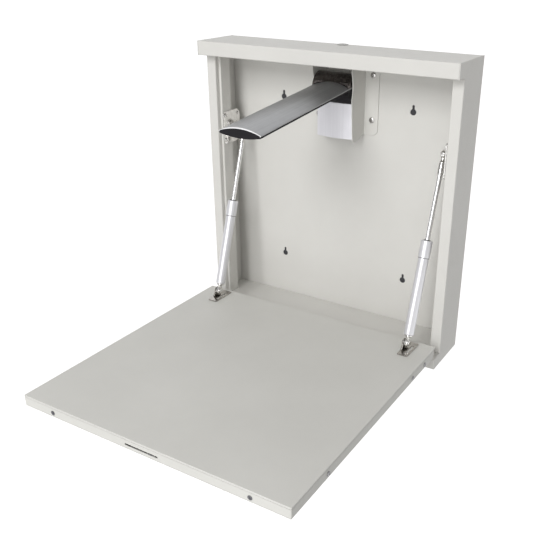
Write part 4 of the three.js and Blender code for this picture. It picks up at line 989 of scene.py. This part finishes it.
def make_hub():
    """The arm's hub: a barrel about the pivot, a block that carries the arm, and the hood
    over its tail, half an ellipse (a, u) = (shift + reach cos t, base + height sin t), on
    side plates that leave the lens of the arm free. The hood and its side plates are made
    dark as painted shade, for the shadow that the cap casts on the bracket above the arm root."""
    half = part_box("arm_hub")[1].x
    hub = Surface().lathed(
        [(0, -half), (HUB_RADIUS, -half), (HUB_RADIUS, half), (0, half)],
        np.array([0, 1.2, 1.2, 0]) * MM, ARM_PIVOT, X, 64)
    block = rectangle(-half, half, 0, ARM_LIFT - 5 * MM, 0.5 * MM)
    hub.slab([block], (ARM_PIVOT, X, ARM_UP, ARM_BACK), BLOCK_FRONT, ARM_TAIL, 0.8 * MM)
    t = np.linspace(math.pi, 0, 49)
    hood = np.stack([HOOD_SHIFT + HOOD_REACH * np.cos(t), HOOD_BASE + HOOD_HEIGHT * np.sin(t)], 1)
    above = hood[hood[:, 1] > HOOD_PARTING + 0.2 * MM]
    below = hood[hood[:, 1] < HOOD_PARTING]
    front, rear = below[below[:, 0] < 0], below[below[:, 0] > 0]
    sole = [(HOOD_SHIFT + HOOD_REACH, 0), (BLOCK_FRONT, 0), (BLOCK_FRONT, HOOD_BASE)]
    place = (ARM_PIVOT, ARM_BACK, ARM_UP, X)
    roof_part = Surface().slab([above], place, -half, half, 0.8 * MM)
    base_part = Surface().slab([np.vstack([sole, front, rear])], place, -half, half, 0.5 * MM)
    wide = ARM_HALF + PLAY
    lens = np.vstack([
        crown(wide, ARM_RISE + PLAY), [(wide, KEEL)],
        (crown(wide, -(ARM_RISE + KEEL) - PLAY) + (0, KEEL))[::-1][1:-1], [(-wide, KEEL)],
    ])
    cutter = Surface().slab([lens], ARM_PLACE, -ARM_REACH, ARM_TAIL + PLAY)
    # Dark hood and black side plates: painted shade above the arm root, under the cap.
    carve(roof_part.piece("arm_tail_hood", HOOD_STEEL_PAINTED_SHADE, ARM, "black_plastic"), cutter)
    carve(base_part.piece("arm_hub_block", BLACK_PLASTIC, ARM, "black_plastic"), cutter)
    hub.piece("arm_black_hub", BLACK_PLASTIC, ARM, "black_plastic", ["arm_hub"])
    face, bolt = CHEEK_IN + BRACKET_PLATE, 4.36 * MM
    Surface().lathed(
        [(0, -face), (bolt, -face), (bolt, face), (0, face)], np.array([0, 0.2, 0.2, 0]) * MM,
        ARM_PIVOT, X, 40).piece(
            "arm_pivot_bolt", CABINET_PAINT, CABINET, "cabinet_paint", ["arm_pivot_pin"])


def make_arm_bracket():
    """The folded bracket: a back plate with rounded corners and two cheeks whose front edges
    are scalloped where the arm turns."""
    back = -SHEET - PLAY
    front = back - BRACKET_PLATE
    bottom, top = BRACKET_LOW.z + 10 * MM, BRACKET_HIGH.z
    plate = rectangle(BRACKET_LOW.x, BRACKET_HIGH.x, bottom, top, 12 * MM, 8)
    holes = []
    for i in (1, 2, 3, 4):
        low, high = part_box(f"arm_bracket_screw_{i}")
        holes.append(circle(((low.x + high.x) / 2, (low.z + high.z) / 2), 2.35 * MM, 20))
    bracket = Surface().slab([plate, *holes], XZ, front, back, 0.4 * MM)
    notch_top, notch_low = ARM_PIVOT[2] + 50 * MM, ARM_PIVOT[2] - 5 * MM
    lip, heel = BRACKET_LOW.y, BRACKET_LOW.y + 10 * MM
    t = np.linspace(0, 1, 13)[:, None]
    start, pull, end = np.array([
        (lip + 2 * MM, notch_low), (lip + 10 * MM, (notch_top + notch_low) / 2), (lip, notch_top)])
    scallop = (1 - t) ** 2 * start + 2 * t * (1 - t) * pull + t ** 2 * end
    rear = back - 1 * MM
    crest = 14 * MM
    top_part = [scallop, arc((lip + crest, top - crest), crest, 180, 90, 10), [(rear, top)]]
    cover_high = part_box("arm_bracket_cover")[1]
    cut_back, above = cover_high.y + PLAY, cover_high.z + 1 * MM
    drop = BRACKET_LOW.z
    feet = {
        1: [(rear, bottom), (heel + 10 * MM, drop), (heel, drop + 3 * MM)],
        -1: [(rear, bottom), (cut_back, bottom), (cut_back, above), (lip + 2 * MM, above)],
    }
    bolt_hole = circle(ARM_PIVOT[1:], 4.35 * MM, 24)
    bend = 2 * MM
    for side in SIDES.values():
        inner, outer = side * CHEEK_IN, side * (CHEEK_IN + BRACKET_PLATE)
        cheek = np.vstack([feet[side], *top_part])
        bracket.slab([cheek, bolt_hole], YZ, *sorted((inner, outer)), 0.4 * MM)
        centre = (outer + side * bend, front - bend)
        corner = np.vstack([[(outer, front)], arc(centre, bend, 90, 180 if side > 0 else 0, 6)])
        bracket.slab([corner], XY, bottom + 0.5 * MM, top - 12 * MM)
    bracket.piece("arm_bracket_folded", CABINET_PAINT, CABINET, "cabinet_paint", ["arm_bracket"])


def make_arm_cover():
    """The silver cover under the arm: a bowed front with side returns, carried upwards."""
    low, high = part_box("arm_bracket_cover")
    half, wall = (high.x - low.x) / 2, 1.6 * MM
    middle, rear = (high.x + low.x) / 2, high.y
    edge_y = rear - 14 * MM
    rise = edge_y - low.y
    outer = crown(half, rise) * (1, -1) + (middle, edge_y)
    inner = crown(half - wall, rise) * (1, -1) + (middle, edge_y + wall)
    section = np.vstack([outer, [(high.x, rear), (high.x - wall, rear)], inner[::-1],
                         [(low.x + wall, rear), (low.x, rear)]])
    Surface().slab([section], XY, low.z, high.z, 0.5 * MM).piece(
        "arm_silver_cover", PALE_ALUMINIUM, CABINET, "pale_aluminium", ["arm_bracket_cover"], sharp=50)


# ------------------------------------------------------------ carried-over CAD

def finish_frame_nodes():
    """The nodes that keep their CAD shape get a finish."""
    finishes = {
        "hinge_fixed_leaf": BRIGHT_STEEL, "hinge_table_leaf": BRIGHT_STEEL, "hinge_pin": BRIGHT_STEEL,
        "table_stiffener": TABLE_PAINT, "latch_guide": GREY_PLASTIC,
        "left_strut_piston": BLACK_PLASTIC, "right_strut_piston": BLACK_PLASTIC,
    }
    for name, material in finishes.items():
        node = frame["nodes"][name]
        node.data.materials.clear()
        node.data.materials.append(material)


# -------------------------------------------------------------- floor and light

def make_stage():
    """A plain pale floor that turns up into a back wall, well clear of the object."""
    material, tree, shader = start_material("pale_studio_floor")
    shader.inputs["Base Color"].default_value = (0.5, 0.5, 0.5, 1)
    shader.inputs["Roughness"].default_value = 0.9
    shader.inputs["Emission Color"].default_value = (1, 1, 1, 1)
    shader.inputs["Emission Strength"].default_value = 0.86
    level = CAD_BOUNDS[0][2] - 0.9
    line = fillet([(-24.0, level), (4.5, level), (4.5, 9.0)], [0, 1.6, 0], closed=False, steps=16)
    across = np.array([-24.0, 24.0])
    points = np.stack([
        np.repeat(across, len(line)), np.tile(line[:, 0], 2), np.tile(line[:, 1], 2)], 1)
    mesh = bpy.data.meshes.new("studio_floor")
    mesh.from_pydata(points.tolist(), [], grid_faces(2, len(line), False)[:, ::-1].tolist())
    mesh.materials.append(material)
    mesh.shade_smooth()
    floor = placed("studio_floor", mesh)
    floor.visible_diffuse = False


def shade_keyholes():
    """A dark card deep in each keyhole stands for the unlit wall that the cabinet hangs on."""
    material, tree, shader = start_material("shaded_wall_card")
    shader.inputs["Base Color"].default_value = (0.05, 0.05, 0.055, 1)
    shader.inputs["Roughness"].default_value = 0.9
    for i, (x, z) in enumerate(KEYHOLES):
        name = f"keyhole_card_{i + 1}"
        mesh = Surface().slab([keyhole_outline(x, z)], XZ, -0.5 * MM, -0.2 * MM).mesh(name)
        mesh.materials.append(material)
        thing = placed(name, mesh)


def add_softbox(name, place, target, size, watts):
    """A square area light that faces a target."""
    data = bpy.data.lights.new(name, "AREA")
    data.shape, data.size, data.energy = "SQUARE", size, watts
    lamp = placed(name, data)
    lamp.location = place
    lamp.rotation_mode = "QUATERNION"
    lamp.rotation_quaternion = (Vector(target) - Vector(place)).to_track_quat("-Z", "Y")


def light_studio():
    """Soft studio light: a world that is palest above and to the right,
    a high frontal key and a weak fill from the front, level with the table."""
    world = bpy.data.worlds.new("studio")
    world.use_nodes = True
    tree = world.node_tree
    where = tree.nodes.new("ShaderNodeTexCoord").outputs["Generated"]
    split = tree.nodes.new("ShaderNodeSeparateXYZ")
    tree.links.new(where, split.inputs[0])
    side = math_node(tree, "MULTIPLY", split.outputs["X"], 0.10)
    height = math_node(tree, "MULTIPLY", split.outputs["Z"], 0.10)
    level = ramp(tree, math_node(tree, "ADD", side, height), -0.2, 0.2, 0.38, 0.48)
    tree.links.new(level, tree.nodes["Background"].inputs["Strength"])
    tree.nodes["Background"].inputs["Color"].default_value = (1, 0.995, 0.985, 1)
    bpy.context.scene.world = world
    middle = (0, -0.25, 0.05)
    add_softbox("key", (0.0, -3.5, 2.1), middle, 1.6, 70)
    add_softbox("fill", (0.3, -3.2, 0.1), middle, 1.6, 22)
    bpy.context.scene.view_settings.view_transform = "Standard"


stand_camera()
make_back_panel()
for wall_side in SIDES:
    make_side_wall(wall_side)
make_cap_and_apron()
make_plug()
make_cover()
make_pan()
make_latch()
make_screws()
for strut_name in SIDES:
    make_strut(strut_name)
    make_wall_plate(strut_name)
    make_foot(strut_name)
make_arm()
make_hub()
make_arm_bracket()
make_arm_cover()
finish_frame_nodes()
make_stage()
shade_keyholes()
light_studio()
